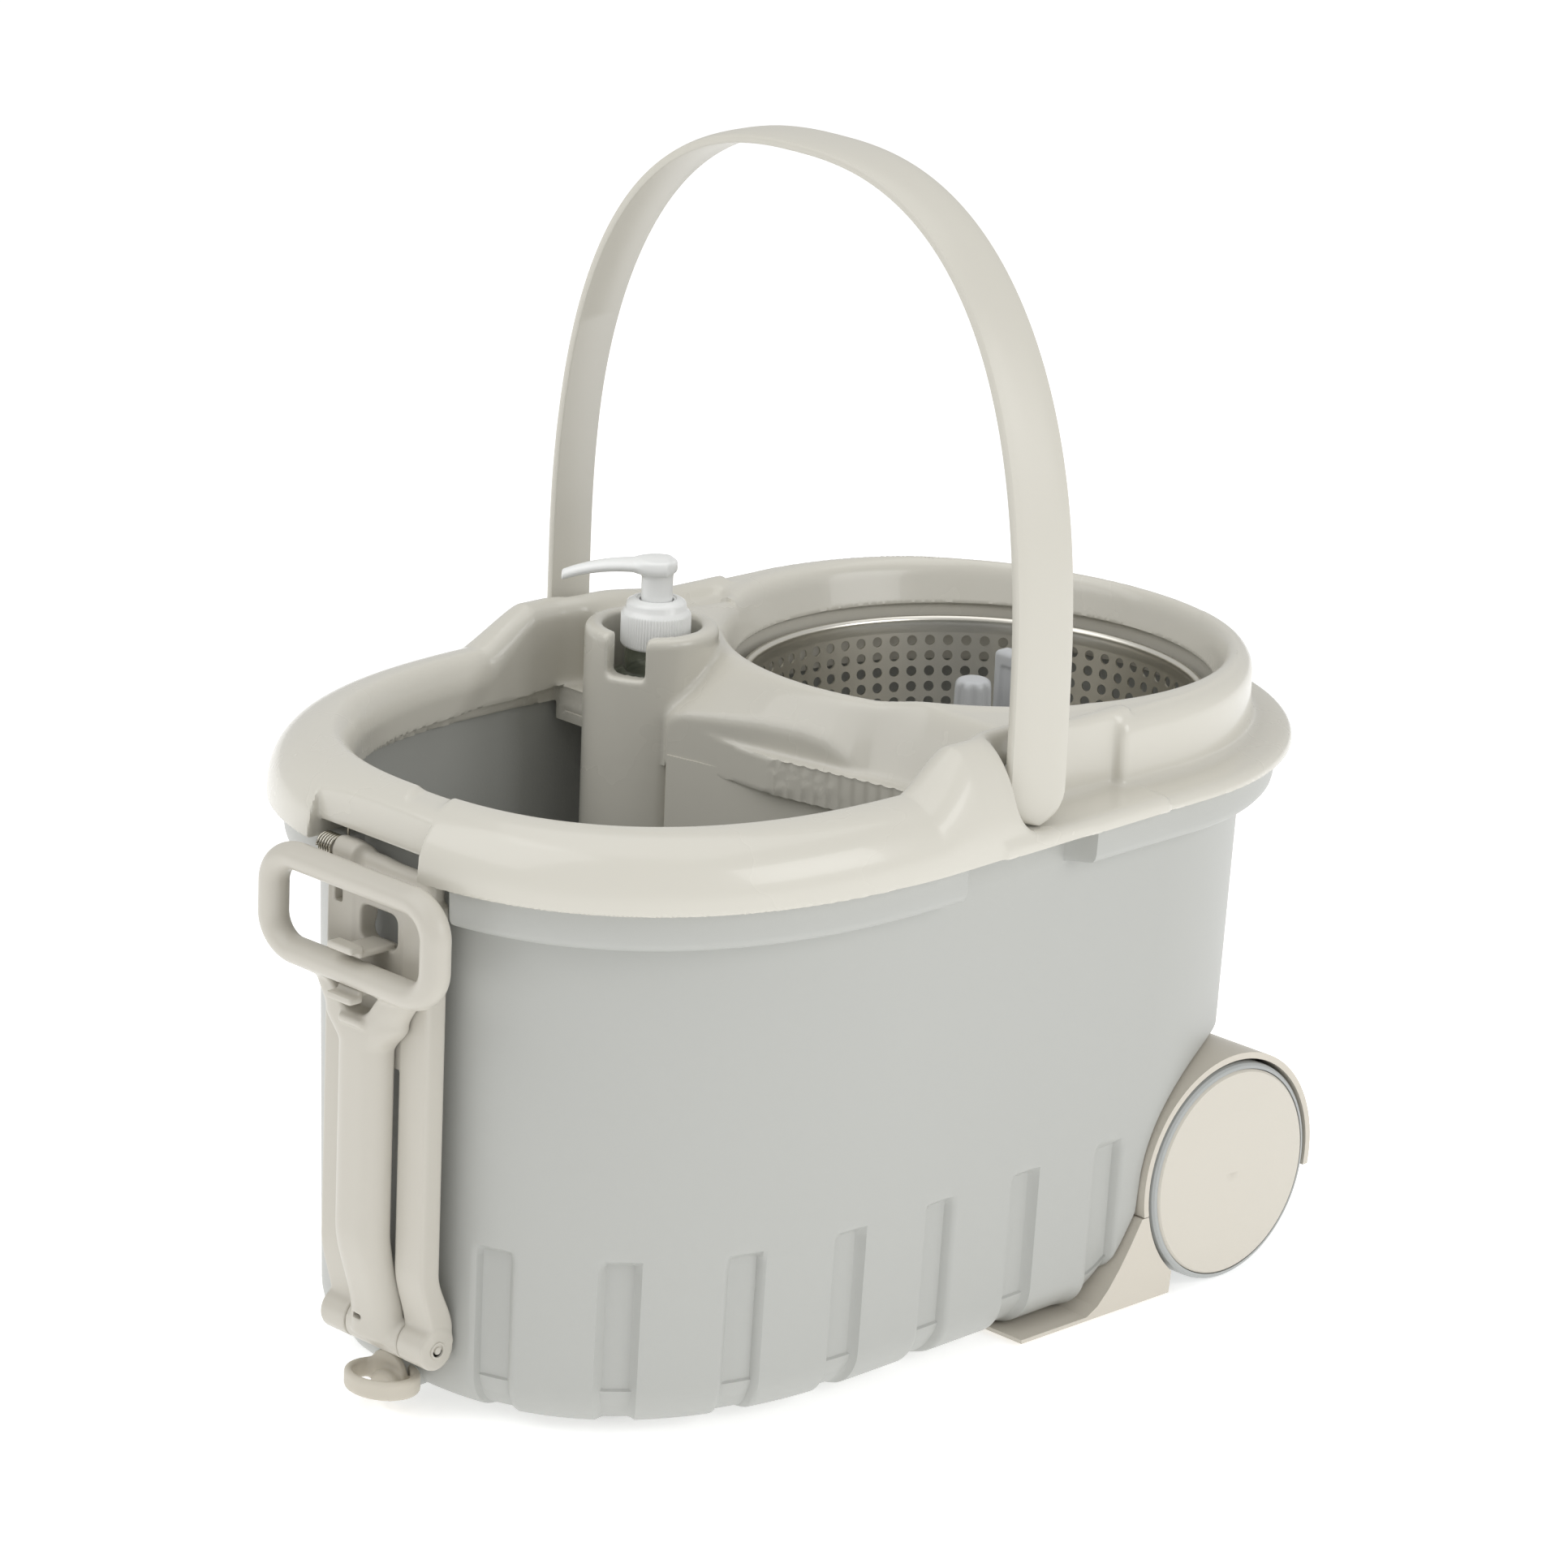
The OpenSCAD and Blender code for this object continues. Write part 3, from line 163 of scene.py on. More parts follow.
def grid_faces(rows, cols, loop_rows=False, loop_cols=False):
    """Quads over a grid of points numbered row by row."""
    r = np.arange(rows if loop_rows else rows - 1)
    c = np.arange(cols if loop_cols else cols - 1)
    r, c = (g.ravel() for g in np.meshgrid(r, c, indexing="ij"))
    r1, c1 = (r + 1) % rows, (c + 1) % cols
    return np.stack([r * cols + c, r * cols + c1, r1 * cols + c1, r1 * cols + c], 1)


def smin(a, b, k):
    """Smooth union of two distances."""
    h = np.clip(0.5 + 0.5 * (b - a) / k, 0, 1)
    return b * (1 - h) + a * h - k * h * (1 - h)


def smax(a, b, k):
    """Smooth overlap of two distances."""
    return -smin(-a, -b, k)


def ramp(x, a, b):
    """Smooth step from 0 at a to 1 at b."""
    f = np.clip((x - a) / (b - a), 0, 1)
    return f * f * (3 - 2 * f)


SLOPE_STEP, FLAT_GRADIENT, MAX_MOVE = 0.05, 0.05, 0.4


def surface_nets(field, low, high, step):
    """Quads on the zero level of field(x, y, z), pulled onto it exactly."""
    axes = [np.arange(low[i], high[i] + step, step) for i in range(3)]
    gx, gy, gz = np.meshgrid(*axes, indexing="ij", sparse=True)
    f = field(gx, gy, gz)
    inside = f < 0
    shape = np.array(f.shape)
    count = np.zeros(shape - 1, np.int8)
    for d in product((0, 1), repeat=3):
        count += inside[tuple(slice(d[i], shape[i] - 1 + d[i]) for i in range(3))]
    active = (count > 0) & (count < 8)
    index = np.full(active.shape, -1, np.int64)
    cell = np.argwhere(active)
    index[active] = np.arange(len(cell))
    total = np.zeros((len(cell), 3))
    hits = np.zeros(len(cell))
    for axis in range(3):
        rest = [a for a in range(3) if a != axis]
        for d in product((0, 1), repeat=2):
            start = cell.copy()
            start[:, rest[0]] += d[0]
            start[:, rest[1]] += d[1]
            end = start.copy()
            end[:, axis] += 1
            v0, v1 = f[tuple(start.T)], f[tuple(end.T)]
            cross = (v0 < 0) != (v1 < 0)
            p = start[cross].astype(float)
            p[:, axis] += v0[cross] / (v0[cross] - v1[cross])
            total[cross] += p
            hits[cross] += 1
    points = np.array(low) + step * total / hits[:, None]
    quads = []
    for axis in range(3):
        b, c = (axis + 1) % 3, (axis + 2) % 3
        here = [slice(1, -1)] * 3
        here[axis] = slice(0, -1)
        there = list(here)
        there[axis] = slice(1, None)
        s0, s1 = inside[tuple(here)], inside[tuple(there)]
        for way in (True, False):
            e = np.argwhere((s0 != s1) & (s0 == way))
            e[:, b] += 1
            e[:, c] += 1
            corners = []
            for db, dc in ((-1, -1), (0, -1), (0, 0), (-1, 0)):
                q = e.copy()
                q[:, b] += db
                q[:, c] += dc
                corners.append(index[tuple(q.T)])
            quad = np.stack(corners, 1)
            quads.append(quad if way else quad[:, ::-1])
    faces = np.concatenate(quads)
    faces = faces[(faces >= 0).all(1)]
    # a few steps down the gradient, each kept short of a cell
    h = SLOPE_STEP
    for _ in range(3):
        x, y, z = points.T
        v = field(x, y, z)
        g = np.stack(
            [
                field(x + h, y, z) - field(x - h, y, z),
                field(x, y + h, z) - field(x, y - h, z),
                field(x, y, z + h) - field(x, y, z - h),
            ],
            1,
        ) / (2 * h)
        move = -v[:, None] * g / np.maximum((g * g).sum(1), FLAT_GRADIENT)[:, None]
        size = np.linalg.norm(move, axis=1, keepdims=True)
        points = points + move * np.minimum(1, MAX_MOVE * step / np.maximum(size, 1e-9))
    return points, faces


# ---------------------------------------------------------------- outline

BOW_X, BOW_LEN, BOW_P, HALF_W = -56.0, 175.0, 2.42, 150.0
TAIL_X, TAIL_R = 98.0, 146.0
RUN = TAIL_X - BOW_X
BASKET_X = 111.0
PIVOT_X, PIVOT_Z = 2.0, 255.0  # the carry handle's pins
EAR_Y, EAR_R = 129.9, 11.0


def inset(x, y):
    """How far a point lies inside the rim's outline."""
    x, ay = np.broadcast_arrays(np.asarray(x, float), np.abs(y))
    f = (TAIL_X - x) / RUN
    out = TAIL_R * (1 - f) + HALF_W * f - ay
    tail = x > TAIL_X
    out = np.where(tail, TAIL_R - np.hypot(x - TAIL_X, ay), out)
    low, high = np.full(x.shape, -40.0), np.full(x.shape, 149.0)
    dx = np.maximum(BOW_X - x, 0)
    for _ in range(26):
        mid = (low + high) / 2
        g = (dx / (BOW_LEN - mid)) ** BOW_P + (ay / (HALF_W - mid)) ** BOW_P - 1
        low, high = np.where(g < 0, mid, low), np.where(g < 0, high, mid)
    return np.where(x < BOW_X, (low + high) / 2, out)


# ---------------------------------------------------------------- lid

SKIRT_Z, LEDGE_Z, DECK_Z, LIP_IN, COLLAR_R = 233.0, 238.8, 270.0, 34.0, 111.0
LIP_R, LIP_Z, COLLAR_Z = 103.0, 251.5, 272.0
TOWER_X, TOWER_Y, TOWER_R, TOWER_TOP = -11.6, 72.6, 28.4, 278.0
NOTCH_TURN, NOTCH_HALF, NOTCH_Z, POCKET_R = math.radians(203), 8.5, 260, 21.0
DISH = (54.0, 108.0)
BLOCK_X = 66.0
ARM_RECESS_R, ARM_RECESS_IN = 15.6, 23.5
WINDOW_Y, WINDOW_HALF, WINDOW_X, WINDOW_TOP = 7.8, 33.8, -222.2, 241
WALL_LEFT, WALL_LEAN = (-28.0, 46.0), 0.2
# height of the crease between the cone and the tank's end wall, by y
CREASE = (
    (-90, -63, -56, -45, -34, -22, 0, 24, 37, 46),
    (222, 233, 238, 245.5, 251, 252.8, 252.5, 250.4, 248.8, 246),
)


def wall_x(y):
    """Front face of the tank's end wall, which leans back towards the near side."""
    return WALL_LEFT[0] + WALL_LEAN * (WALL_LEFT[1] - y)


def skirt_field(x, i, z):
    """Rounded rim round the wash tank, rising to the humps by the handle."""
    linear_part = np.clip((x + 60) / 24, 0, 1)
    hump = 0.6 * linear_part + 0.4 * ramp(x, -62, -34)
    slant = ramp(x + 0.8 * np.clip(272 - z, 0, 40), -60, -36)
    after = ramp(x, -22, -8)
    dc = 24 - 2 * hump + 5 * after
    zc = 262 + 15.5 * hump - 5 * ramp(x, 0, 50)
    rise = 2.5 - 0.5 * hump
    u = np.abs(dc - i) / dc
    v = np.clip((z - SKIRT_Z) / (zc - SKIRT_Z), 0, None)
    outer = 25 * ((u ** (rise - 0.35) + v ** rise) ** (1 / (rise - 0.15)) - 1)
    lip = LIP_IN - 3 * slant + 3 * after
    drop = 14 - 6 * hump
    round_in = 1.6 + 0.5 * hump
    ui = (i - dc) / (lip - dc)
    vi = np.clip((z - (zc - drop)) / drop, 0, None)
    inner = 10.5 * ((ui ** round_in + vi ** round_in) ** (1 / round_in) - 1)
    inner = np.where(z < zc - drop, i - lip, inner)
    return np.where(i < dc, outer, inner)


def lid_field(x, y, z):
    """The whole lid moulding down to its lower edges."""
    i = inset(x, y)
    ay = np.abs(y)
    r = np.hypot(x - BASKET_X, y)
    side = (BASKET_X - x) / np.maximum(r, 1)
    yp = np.clip(y * (BASKET_X - wall_x(y)) / np.maximum(BASKET_X - x, 30), -90, 60)
    reach = np.hypot(BASKET_X - wall_x(yp), yp)
    slope = (reach - COLLAR_R) / (COLLAR_Z - np.interp(yp, *CREASE))
    slope = 0.3 + (slope - 0.3) * ramp(side, 0.3, 0.82)
    rim = np.maximum(skirt_field(x, np.maximum(i, -6), z), x - 75)
    # recess for the handle's arm, hugging its round foot
    hug = np.hypot(np.clip(PIVOT_X - x, 0, None), np.clip(PIVOT_Z - z, 0, None)) - ARM_RECESS_R
    recess = smax(smax(hug, LEDGE_Z - 0.6 - z, 2), i - ARM_RECESS_IN, 4)
    rim = smax(rim, -recess, 2.5)
    # ledge under the handle and flange round the rear
    ledge = smax(-i, z - (LEDGE_Z - 0.6 + 0.09 * np.clip(i, 0, 30)), 4.5)
    ledge = np.maximum(ledge, -22 - x)
    # block between recess and collar
    block = smax(18.5 - i, z - DECK_Z, 9)
    block = smax(block, BLOCK_X - x, 5)
    # collar: a cone that flares towards the tank
    cone = (r - (COLLAR_R + (COLLAR_Z - z) * slope)) / np.sqrt(1 + slope ** 2)
    collar = smax(cone, z - COLLAR_Z, 9)
    ridge = 0.92 * (y - WALL_LEFT[1]) - 0.39 * (x - WALL_LEFT[0])
    collar = smax(collar, np.where(x < 60, ridge, -20), 5)
    # deck: high behind the pump, and a valley beside the near hump that closes towards the handle
    far_deck = smax(smax(z - DECK_Z, -5 - x, 3), 62 - y, 5)
    dish = np.hypot(np.hypot((x - DISH[0]) * 0.45, y - DISH[1]), z - DECK_Z - 12) - 15.5
    far_deck = smax(far_deck, -dish, 2)
    valley = 222 + (DECK_Z - 222) * ramp(x, -20, 18)
    near_deck = smax(z - valley, y + 40, 6)
    deck = np.maximum(np.minimum(far_deck, near_deck), 26 - i)
    wall = (wall_x(y) - x) * 0.98
    inside = smax(smin(deck, collar, 7), wall, 2.5)
    solid = smin(rim, block, 3)
    solid = smin(solid, ledge, 4)
    solid = smin(solid, inside, 3)
    # inner funnel over the basket
    funnel = (r - (LIP_R + np.clip(z - LIP_Z, 0, None) * 0.28)) * 0.96
    solid = smax(solid, -funnel, 8)
    # the pump's tower
    tr = np.hypot(x - TOWER_X, y - TOWER_Y)
    solid = smin(solid, smax(tr - TOWER_R, z - TOWER_TOP, 4), 3)
    c, s = math.cos(NOTCH_TURN), math.sin(NOTCH_TURN)
    along = (x - TOWER_X) * c + (y - TOWER_Y) * s
    across = -(x - TOWER_X) * s + (y - TOWER_Y) * c
    notch = smax(smax(np.abs(across) - NOTCH_HALF, NOTCH_Z - z, 3), 4 - along, 1)
    pocket = np.minimum(tr - POCKET_R, notch)
    solid = smax(solid, -np.maximum(pocket, 231 - z), 2)
    solid = smax(solid, -smax(r - 106.5, z - LIP_Z, 2), 1.5)
    # front recess for the pull handle's hinge
    wide = np.abs(y - WINDOW_Y) - WINDOW_HALF
    solid = smax(solid, -smax(x - WINDOW_X, wide, 1), 1)
    solid = smax(solid, -smax(smax(x + 206, wide + 0.2, 1), z - WINDOW_TOP, 1.5), 0.8)
    # slots for the tub's ears
    ear = np.maximum(np.abs(x - PIVOT_X) - EAR_R - 0.8, np.abs(ay - EAR_Y) - 2.6)
    ear = np.maximum(ear, np.hypot(x - PIVOT_X, np.clip(z - PIVOT_Z, 0, None)) - EAR_R - 0.8)
    solid = np.maximum(solid, -ear)
    # lower edges: the rim's skirt, its inner edge over the tank, and what the prisms carry on
    tank = (wall > 5) | ((y > 50) & (x < -20))
    low = np.where(tank, 238.5 + 2 * ramp(x, -45, -20), 225.0)
    low = np.where(i < 27, SKIRT_Z, low)
    low = np.where(tr < TOWER_R + 2, 210.0, low)
    return smax(solid, low - z, 0.8)


STEP = 1.25
LID_BOX = (-233.5, -152.5, 223.0), (246.5, 152.5, 279.0)
points, faces = surface_nets(lid_field, *LID_BOX, STEP)
piece("lid_shell", points, faces, "beige_plastic", "bucket", replaces=("lid",), sharp=50)


def prism_mesh(low, high):
    """Walls between two equal rings of points, with both ends closed."""
    n = len(low)
    faces = [(j, (j + 1) % n, n + (j + 1) % n, n + j) for j in range(n)]
    faces += [tuple(range(n - 1, -1, -1)), tuple(range(n, 2 * n))]
    return low + high, faces


def prism(name, plan, z0, z1, slot, body, replaces=()):
    """An upright prism over a plan."""
    points, faces = prism_mesh([(x, y, z0) for x, y in plan], [(x, y, z1) for x, y in plan])
    return piece(name, points, faces, slot, body, replaces, sharp=35)


# the tank's end wall and the tower below the deck, set back a hair behind the field's faces
HAIR_WALL, HAIR_TOWER = 0.03, 0.02
CORNER_R, WALL_SIDE = 3, -114.5
left_x, left_y = WALL_LEFT
wall_end = wall_x(WALL_SIDE)
wall_plan = [(wall_end - HAIR_WALL, WALL_SIDE)]
for a in np.linspace(0, math.pi / 2, 7):
    x = left_x + CORNER_R - CORNER_R * math.cos(a) - HAIR_WALL
    wall_plan.append((x, left_y - CORNER_R + CORNER_R * math.sin(a)))
wall_plan += [(left_x + 12, left_y + 3), (left_x + 12, left_y - 1), (left_x + 6, left_y - 4)]
wall_plan.append((wall_end + 4, WALL_SIDE))
prism("lid_partition", wall_plan, 66, 229.5, "beige_plastic", "bucket", ("lid",))
tower_plan = []
for a in np.linspace(0, 2 * math.pi, 96, endpoint=False):
    r = TOWER_R - HAIR_TOWER
    tower_plan.append((TOWER_X + r * math.cos(a), TOWER_Y + r * math.sin(a)))
prism("lid_tower", tower_plan, 148, 232, "beige_plastic", "bucket", ("lid",))

# ---------------------------------------------------------------- tub

WALL_IN, WALL_T, FLOOR_Z, FOOT_R = 21.0, 2.6, 3.0, 20.0
TAPER = (2.0, 8.0, 7.0)
FOOT_CUT = tuple(WALL_IN + t for t in TAPER)
AXLE_X, WHEEL_R = 155.5, 48.6
SEAT_R = WHEEL_R + 1.7 + 2.8 + 0.3
ARCH_FOOT, ARCH_END = AXLE_X - 85.5, 50


def power(v, p):
    """A power that keeps its sign."""
    return np.sign(v) * np.abs(v) ** p


def bow_point(t, cf, cs):
    """Point on the rounded front at parameter t, inset by cf in front and cs at the sides."""
    x = BOW_X - (BOW_LEN - cf) * power(np.sin(t), 2 / BOW_P)
    return x, (HALF_W - cs) * power(np.cos(t), 2 / BOW_P)


t_fine = np.linspace(0, math.pi, 4001)
bx, by = bow_point(t_fine, FOOT_CUT[0], FOOT_CUT[1])
bow_s = np.concatenate([[0], np.cumsum(np.hypot(np.diff(bx), np.diff(by)))])
BOW_ARC = bow_s[-1]
TAIL_ARC = math.pi * (TAIL_R - FOOT_CUT[2]) / 2
FRONT_S = TAIL_ARC + RUN + BOW_ARC / 2
WHOLE_S = 2 * FRONT_S


def outline(s, cf, cs, cr):
    """Point at arc length s, inset by cf, cs and cr at front, side and rear."""
    s = np.asarray(s, float)
    half = np.minimum(s, WHOLE_S - s)
    way = np.where(s <= FRONT_S, 1.0, -1.0)
    t = np.radians(90 * half / TAIL_ARC)
    tail = (TAIL_X + (TAIL_R - cr) * np.cos(t), (TAIL_R - cr) * np.sin(t))
    f = (half - TAIL_ARC) / RUN
    side = (TAIL_X - RUN * f, (TAIL_R - cr) * (1 - f) + (HALF_W - cs) * f)
    bow = bow_point(np.interp(half - TAIL_ARC - RUN, bow_s, t_fine), cf, cs)
    x = np.where(half <= TAIL_ARC, tail[0], np.where(half < TAIL_ARC + RUN, side[0], bow[0]))
    y = np.where(half <= TAIL_ARC, tail[1], np.where(half < TAIL_ARC + RUN, side[1], bow[1]))
    return x, way * y


# underside of the tub by x: flat floor, flare, and the arch over the wheels
FLARE_X, FLARE_Z = AXLE_X - SEAT_R - 0.2, WHEEL_R - 0.17 * SEAT_R
arch_xz = [(-400.0, FLOOR_Z)]
for f in np.linspace(0, 1, 20):
    arch_xz.append(
        (ARCH_FOOT + (FLARE_X - ARCH_FOOT) * f, FLOOR_Z + (FLARE_Z - FLOOR_Z) * f ** 1.5)
    )
arch_xz.append((FLARE_X + 0.3, WHEEL_R + 0.12 * SEAT_R))
for a in range(166, ARCH_END - 1, -4):
    a = math.radians(a)
    arch_xz.append((AXLE_X + SEAT_R * math.cos(a), WHEEL_R + SEAT_R * math.sin(a)))
arch_xz.append((400.0, WHEEL_R + SEAT_R * math.sin(math.radians(ARCH_END))))
ARCH = np.array(arch_xz)


def arch_z(x):
    """Height of the tub's underside at x."""
    return np.interp(x, ARCH[:, 0], ARCH[:, 1])


# flutes: upright grooves in the foot of the wall
FLUTE_SHIFT, FLUTE_PITCH, FLUTES = 5.0, 52, 7
FLUTE_HALF, FLUTE_ROUND, FLUTE_TOP, FLUTE_DEPTH = 8.5, 3.7, 79, 3.8
STATION, WALL_TOP = 1.6, 215
# band under the lid: (height, how far it stands out)
BAND = (
    (214.4, 0), (214.8, -1.2), (215.0, -4), (215.2, -8), (215.6, -10.5), (216.4, -12.2),
    (217.8, -13.4), (220, -14.0), (224, -14.2), (228, -14.4), (231.5, -14.6), (234.3, -14.8),
    (234.6, -14.0), (234.8, -1),
)


def tub_mesh():
    """The tub as rings from its underside up the outside, over the top and down the inside."""
    half = np.unique(np.concatenate([np.arange(0, FRONT_S, STATION), [FRONT_S]]))
    s = np.concatenate([half, WHOLE_S - half[-2:0:-1]])
    x0, _ = outline(s, 0, 0, 0)
    xf, _ = outline(s, *FOOT_CUT)
    r = FOOT_R + (5 - FOOT_R) * ramp(xf, ARCH_FOOT - 10, ARCH_FOOT + 25)
    base = np.zeros(len(s))
    for _ in range(3):
        f = np.clip((WALL_TOP - base) / WALL_TOP, 0, 1)
        xb, _ = outline(s, *(WALL_IN + t * f + r for t in TAPER))
        base = arch_z(xb)
    near = np.minimum(s, WHOLE_S - s)
    k = np.clip(np.round((FRONT_S - near + FLUTE_SHIFT) / FLUTE_PITCH), 1, FLUTES)
    ds = near - (FRONT_S + FLUTE_SHIFT - k * FLUTE_PITCH)
    shallow = 1 - ramp(base, 30, 50)
    top = np.maximum(FLUTE_TOP, base + r + 14)
    # the band leaves room for the handle's ears and for the pull handle
    gap = np.minimum(1, np.clip(np.maximum(-33 - x0, x0 - 36) / 4, 0, 1))
    gap = np.minimum(gap, np.clip((FRONT_S - near - 28) / 3, 0, 1))

    def cut(z, extra):
        f = np.clip((WALL_TOP - z) / WALL_TOP, 0, 1)
        return outline(s, *(WALL_IN + t * f + extra for t in TAPER))

    def flute(z):
        u, v = np.abs(ds) - (FLUTE_HALF - FLUTE_ROUND), z - (top - FLUTE_ROUND)
        outside = np.hypot(np.maximum(u, 0), np.maximum(v, 0)) + np.minimum(np.maximum(u, v), 0)
        return FLUTE_DEPTH * ramp(FLUTE_ROUND - outside, -0.4, 2.6) * shallow

    rows = []

    def ring(z, extra):
        x, y = cut(z, extra)
        rows.append(np.stack([x, y, z], 1))

    z_flute = np.maximum(92, base + r + 20)
    for a in np.linspace(0, 90, 13):
        a = math.radians(a)
        z = base + r * (1 - math.cos(a))
        ring(z, r * (1 - math.sin(a)) + flute(z) * min(1, a / 0.3))
    for f in np.linspace(0.04, 1, 26):
        z = (base + r) * (1 - f) + z_flute * f
        ring(z, flute(z))
    for f in np.linspace(0.1, 1, 8):
        ring(z_flute * (1 - f) + 213 * f, 0)
    for z, out in BAND:
        ring(np.full(len(s), float(z)), out * gap)
    wall_top = 257.9 + (235.9 - 257.9) * ramp(x0, -34, -24)
    ring(wall_top, 0.0)
    ring(wall_top, WALL_T)
    inner = [wall_top * (1 - f) + z_flute * f for f in np.linspace(0.1, 1, 8)]
    inner += [z_flute * (1 - f) + (base + r + 1) * f for f in np.linspace(0.1, 1, 12)]
    for z in inner:
        ring(z, WALL_T + flute(z))
    for a in np.linspace(80, 0, 9):
        a = math.radians(a)
        ring(base + WALL_T + (r - 1) * (1 - math.cos(a)), WALL_T + (r - 1) * (1 - math.sin(a)))
    n, m = len(s), len(rows)
    points = np.stack(rows, 0).reshape(-1, 3)
    faces = grid_faces(m, n, loop_cols=True)
    # floor and underside: strips across between the two halves of a ring
    h = n // 2
    j = np.arange(1, h - 1)
    strip = np.stack([j, n - j, n - j - 1, j + 1], 1)
    faces = np.concatenate([faces, strip, (m - 1) * n + strip[:, ::-1]])
    return points, faces


points, faces = tub_mesh()
piece("tub_shell", points, faces, "grey_plastic", "bucket", ("tub",), sharp=35)

# ears beside the handle's arms
ear_plan = [(PIVOT_X + EAR_R, 231)]
for a in np.linspace(0, math.pi, 17):
    ear_plan.append((PIVOT_X + EAR_R * math.cos(a), PIVOT_Z + EAR_R * math.sin(a)))
ear_plan.append((PIVOT_X - EAR_R, 231))
for name, way in (("tub_ear_left", 1), ("tub_ear_right", -1)):
    near, far = ([(x, way * y, z) for x, z in ear_plan] for y in (EAR_Y - 1.7, EAR_Y + 1.7))
    points, faces = prism_mesh(near, far)
    piece(name, points, faces, "grey_plastic", "bucket", ("tub",), sharp=35)


def lathe(name, profile, centre, slot, body, axis="z", segments=96, replaces=(), sharp=35):
    """Revolves a closed loop of (radius, height) pairs round an axis through centre."""
    n, k = segments, len(profile)
    a = np.linspace(0, 2 * math.pi, n, endpoint=False)
    pts = []
    for r, h in profile:
        c, s, level = r * np.cos(a), r * np.sin(a), np.full(n, h)
        turned = {"z": (c, s, level), "y": (c, level, s), "x": (level, c, s)}[axis]
        pts.append(np.stack(turned, 1) + np.array(centre))
    faces = grid_faces(k, n, loop_rows=True, loop_cols=True)
    return piece(name, np.concatenate(pts), faces, slot, body, replaces, sharp)


# drain spout
DRAIN_Z = 12.5
spout = [(6.5, -200), (6.5, -212.5), (6.9, -213), (8.1, -213), (8.5, -212.5), (8.5, -199)]
lathe("tub_spout", spout, (0, 0, DRAIN_Z), "grey_plastic", "bucket", "x", 48, ("tub",))

# ---------------------------------------------------------------- carry handle

ARM_Y, TOP_Z, BASE_Z = 140.3, 499.0, 290.0
ARCH_P, STRAP_W, STRAP_T = 2.45, 28.0, 5.0
STRAP_END_R, STRAP_TURN = 14.0, 11


def tube_mesh(rings):
    """Faces round a row of equal rings, with both ends closed."""
    rows, n = len(rings), len(rings[0])
    faces = [tuple(int(q) for q in f) for f in grid_faces(rows, n, loop_cols=True)]
    faces += [tuple(range(n - 1, -1, -1)), tuple((rows - 1) * n + q for q in range(n))]
    return [p for ring in rings for p in ring], faces


def handle_mesh():
    """A crowned strap swept over the arch, with round ends."""
    half = []
    for a in (90, 86, 80, 72, 62, 50, 36, 20, 8):
        half.append((ARM_Y, PIVOT_Z - (STRAP_END_R - 0.001) * math.sin(math.radians(a))))
    half += [(ARM_Y, z) for z in np.linspace(PIVOT_Z, BASE_Z, 7)]
    rise = TOP_Z - STRAP_T / 2 - BASE_Z
    for a in np.linspace(0, 90, 61)[1:]:
        a = math.radians(a)
        y, z = ARM_Y * power(np.cos(a), 2 / ARCH_P), BASE_Z + rise * power(np.sin(a), 2 / ARCH_P)
        half.append((y, z))
    half[-1] = (0.0, half[-1][1])
    path = np.array(half + [(-y, z) for y, z in half[-2::-1]])
    d = np.gradient(path, axis=0)
    # stations are uneven, so the heading comes from the neighbours' chord
    d[1:-1] = path[2:] - path[:-2]
    d /= np.linalg.norm(d, axis=1, keepdims=True)
    # section: a crowned outer face, rounded sides and a flat inner face
    h, w = STRAP_T / 2, STRAP_W / 2
    crown = [(u * (w - 0.7), h - 1.1 * u ** 4 - 0.3 * u * u) for u in np.linspace(-1, 1, 15)]
    side = [(w - 0.25, h - 2.0), (w, h - 2.6), (w, -h + 1.0), (w - 0.3, -h + 0.35), (w - 1.0, -h)]
    section = crown + side + [(-x, y) for x, y in side[::-1]]
    rings = []
    for (py, pz), (hy, hz) in zip(path, d):
        turn = math.radians(STRAP_TURN) * float(ramp(TOP_Z - pz, 0, 150))
        below = max(0.0, (PIVOT_Z - pz) / STRAP_END_R)
        narrow = math.sqrt(max(0.0, 1 - below ** 2))
        ring = []
        for u, v in section:
            u *= max(narrow, 0.012)
            v += u * math.sin(turn)
            ring.append((PIVOT_X + u * math.cos(turn), py + hz * v, pz - hy * v))
        rings.append(ring)
    return tube_mesh(rings)


points, faces = handle_mesh()
piece("handle_strap", points, faces, "handle_plastic", "carry_handle", ("carry_handle",), sharp=28)

# ---------------------------------------------------------------- pull handle

FRAME_FRONT, FRAME_BACK, FRAME_HALF, RAIL_IN = -226.4, -216.2, 31.0, 14.3
HEAD_X, HEAD_Z, HEAD_R = -223.5, 232.3, 4.8
FOOT_X, FOOT_Z, KNUCKLE_R, ARM_EYE = -216.8, 33.0, 8.8, 15.8
ARM_FRONT, ARM_BACK, ARM_HALF = -238.2, -226.9, 13.5
GRIP = (-239.0, 210.3)
CLIPS = ((202.3, 199.6), (181.3, 183.5))
GRIP_W, GRIP_H, GRIP_R, GRIP_TURN = 55.0, 26.0, 6.3, 15.0


def block_sd(x, y, z, low, high, r):
    """Distance to a box with edges rounded by r."""
    q = []
    for v, a, b in zip((x, y, z), low, high):
        q.append(np.abs(v - (a + b) / 2) - (b - a) / 2 + r)
    out = np.sqrt(sum(np.clip(g, 0, None) ** 2 for g in q))
    return out + np.minimum(np.maximum(np.maximum(q[0], q[1]), q[2]), 0) - r


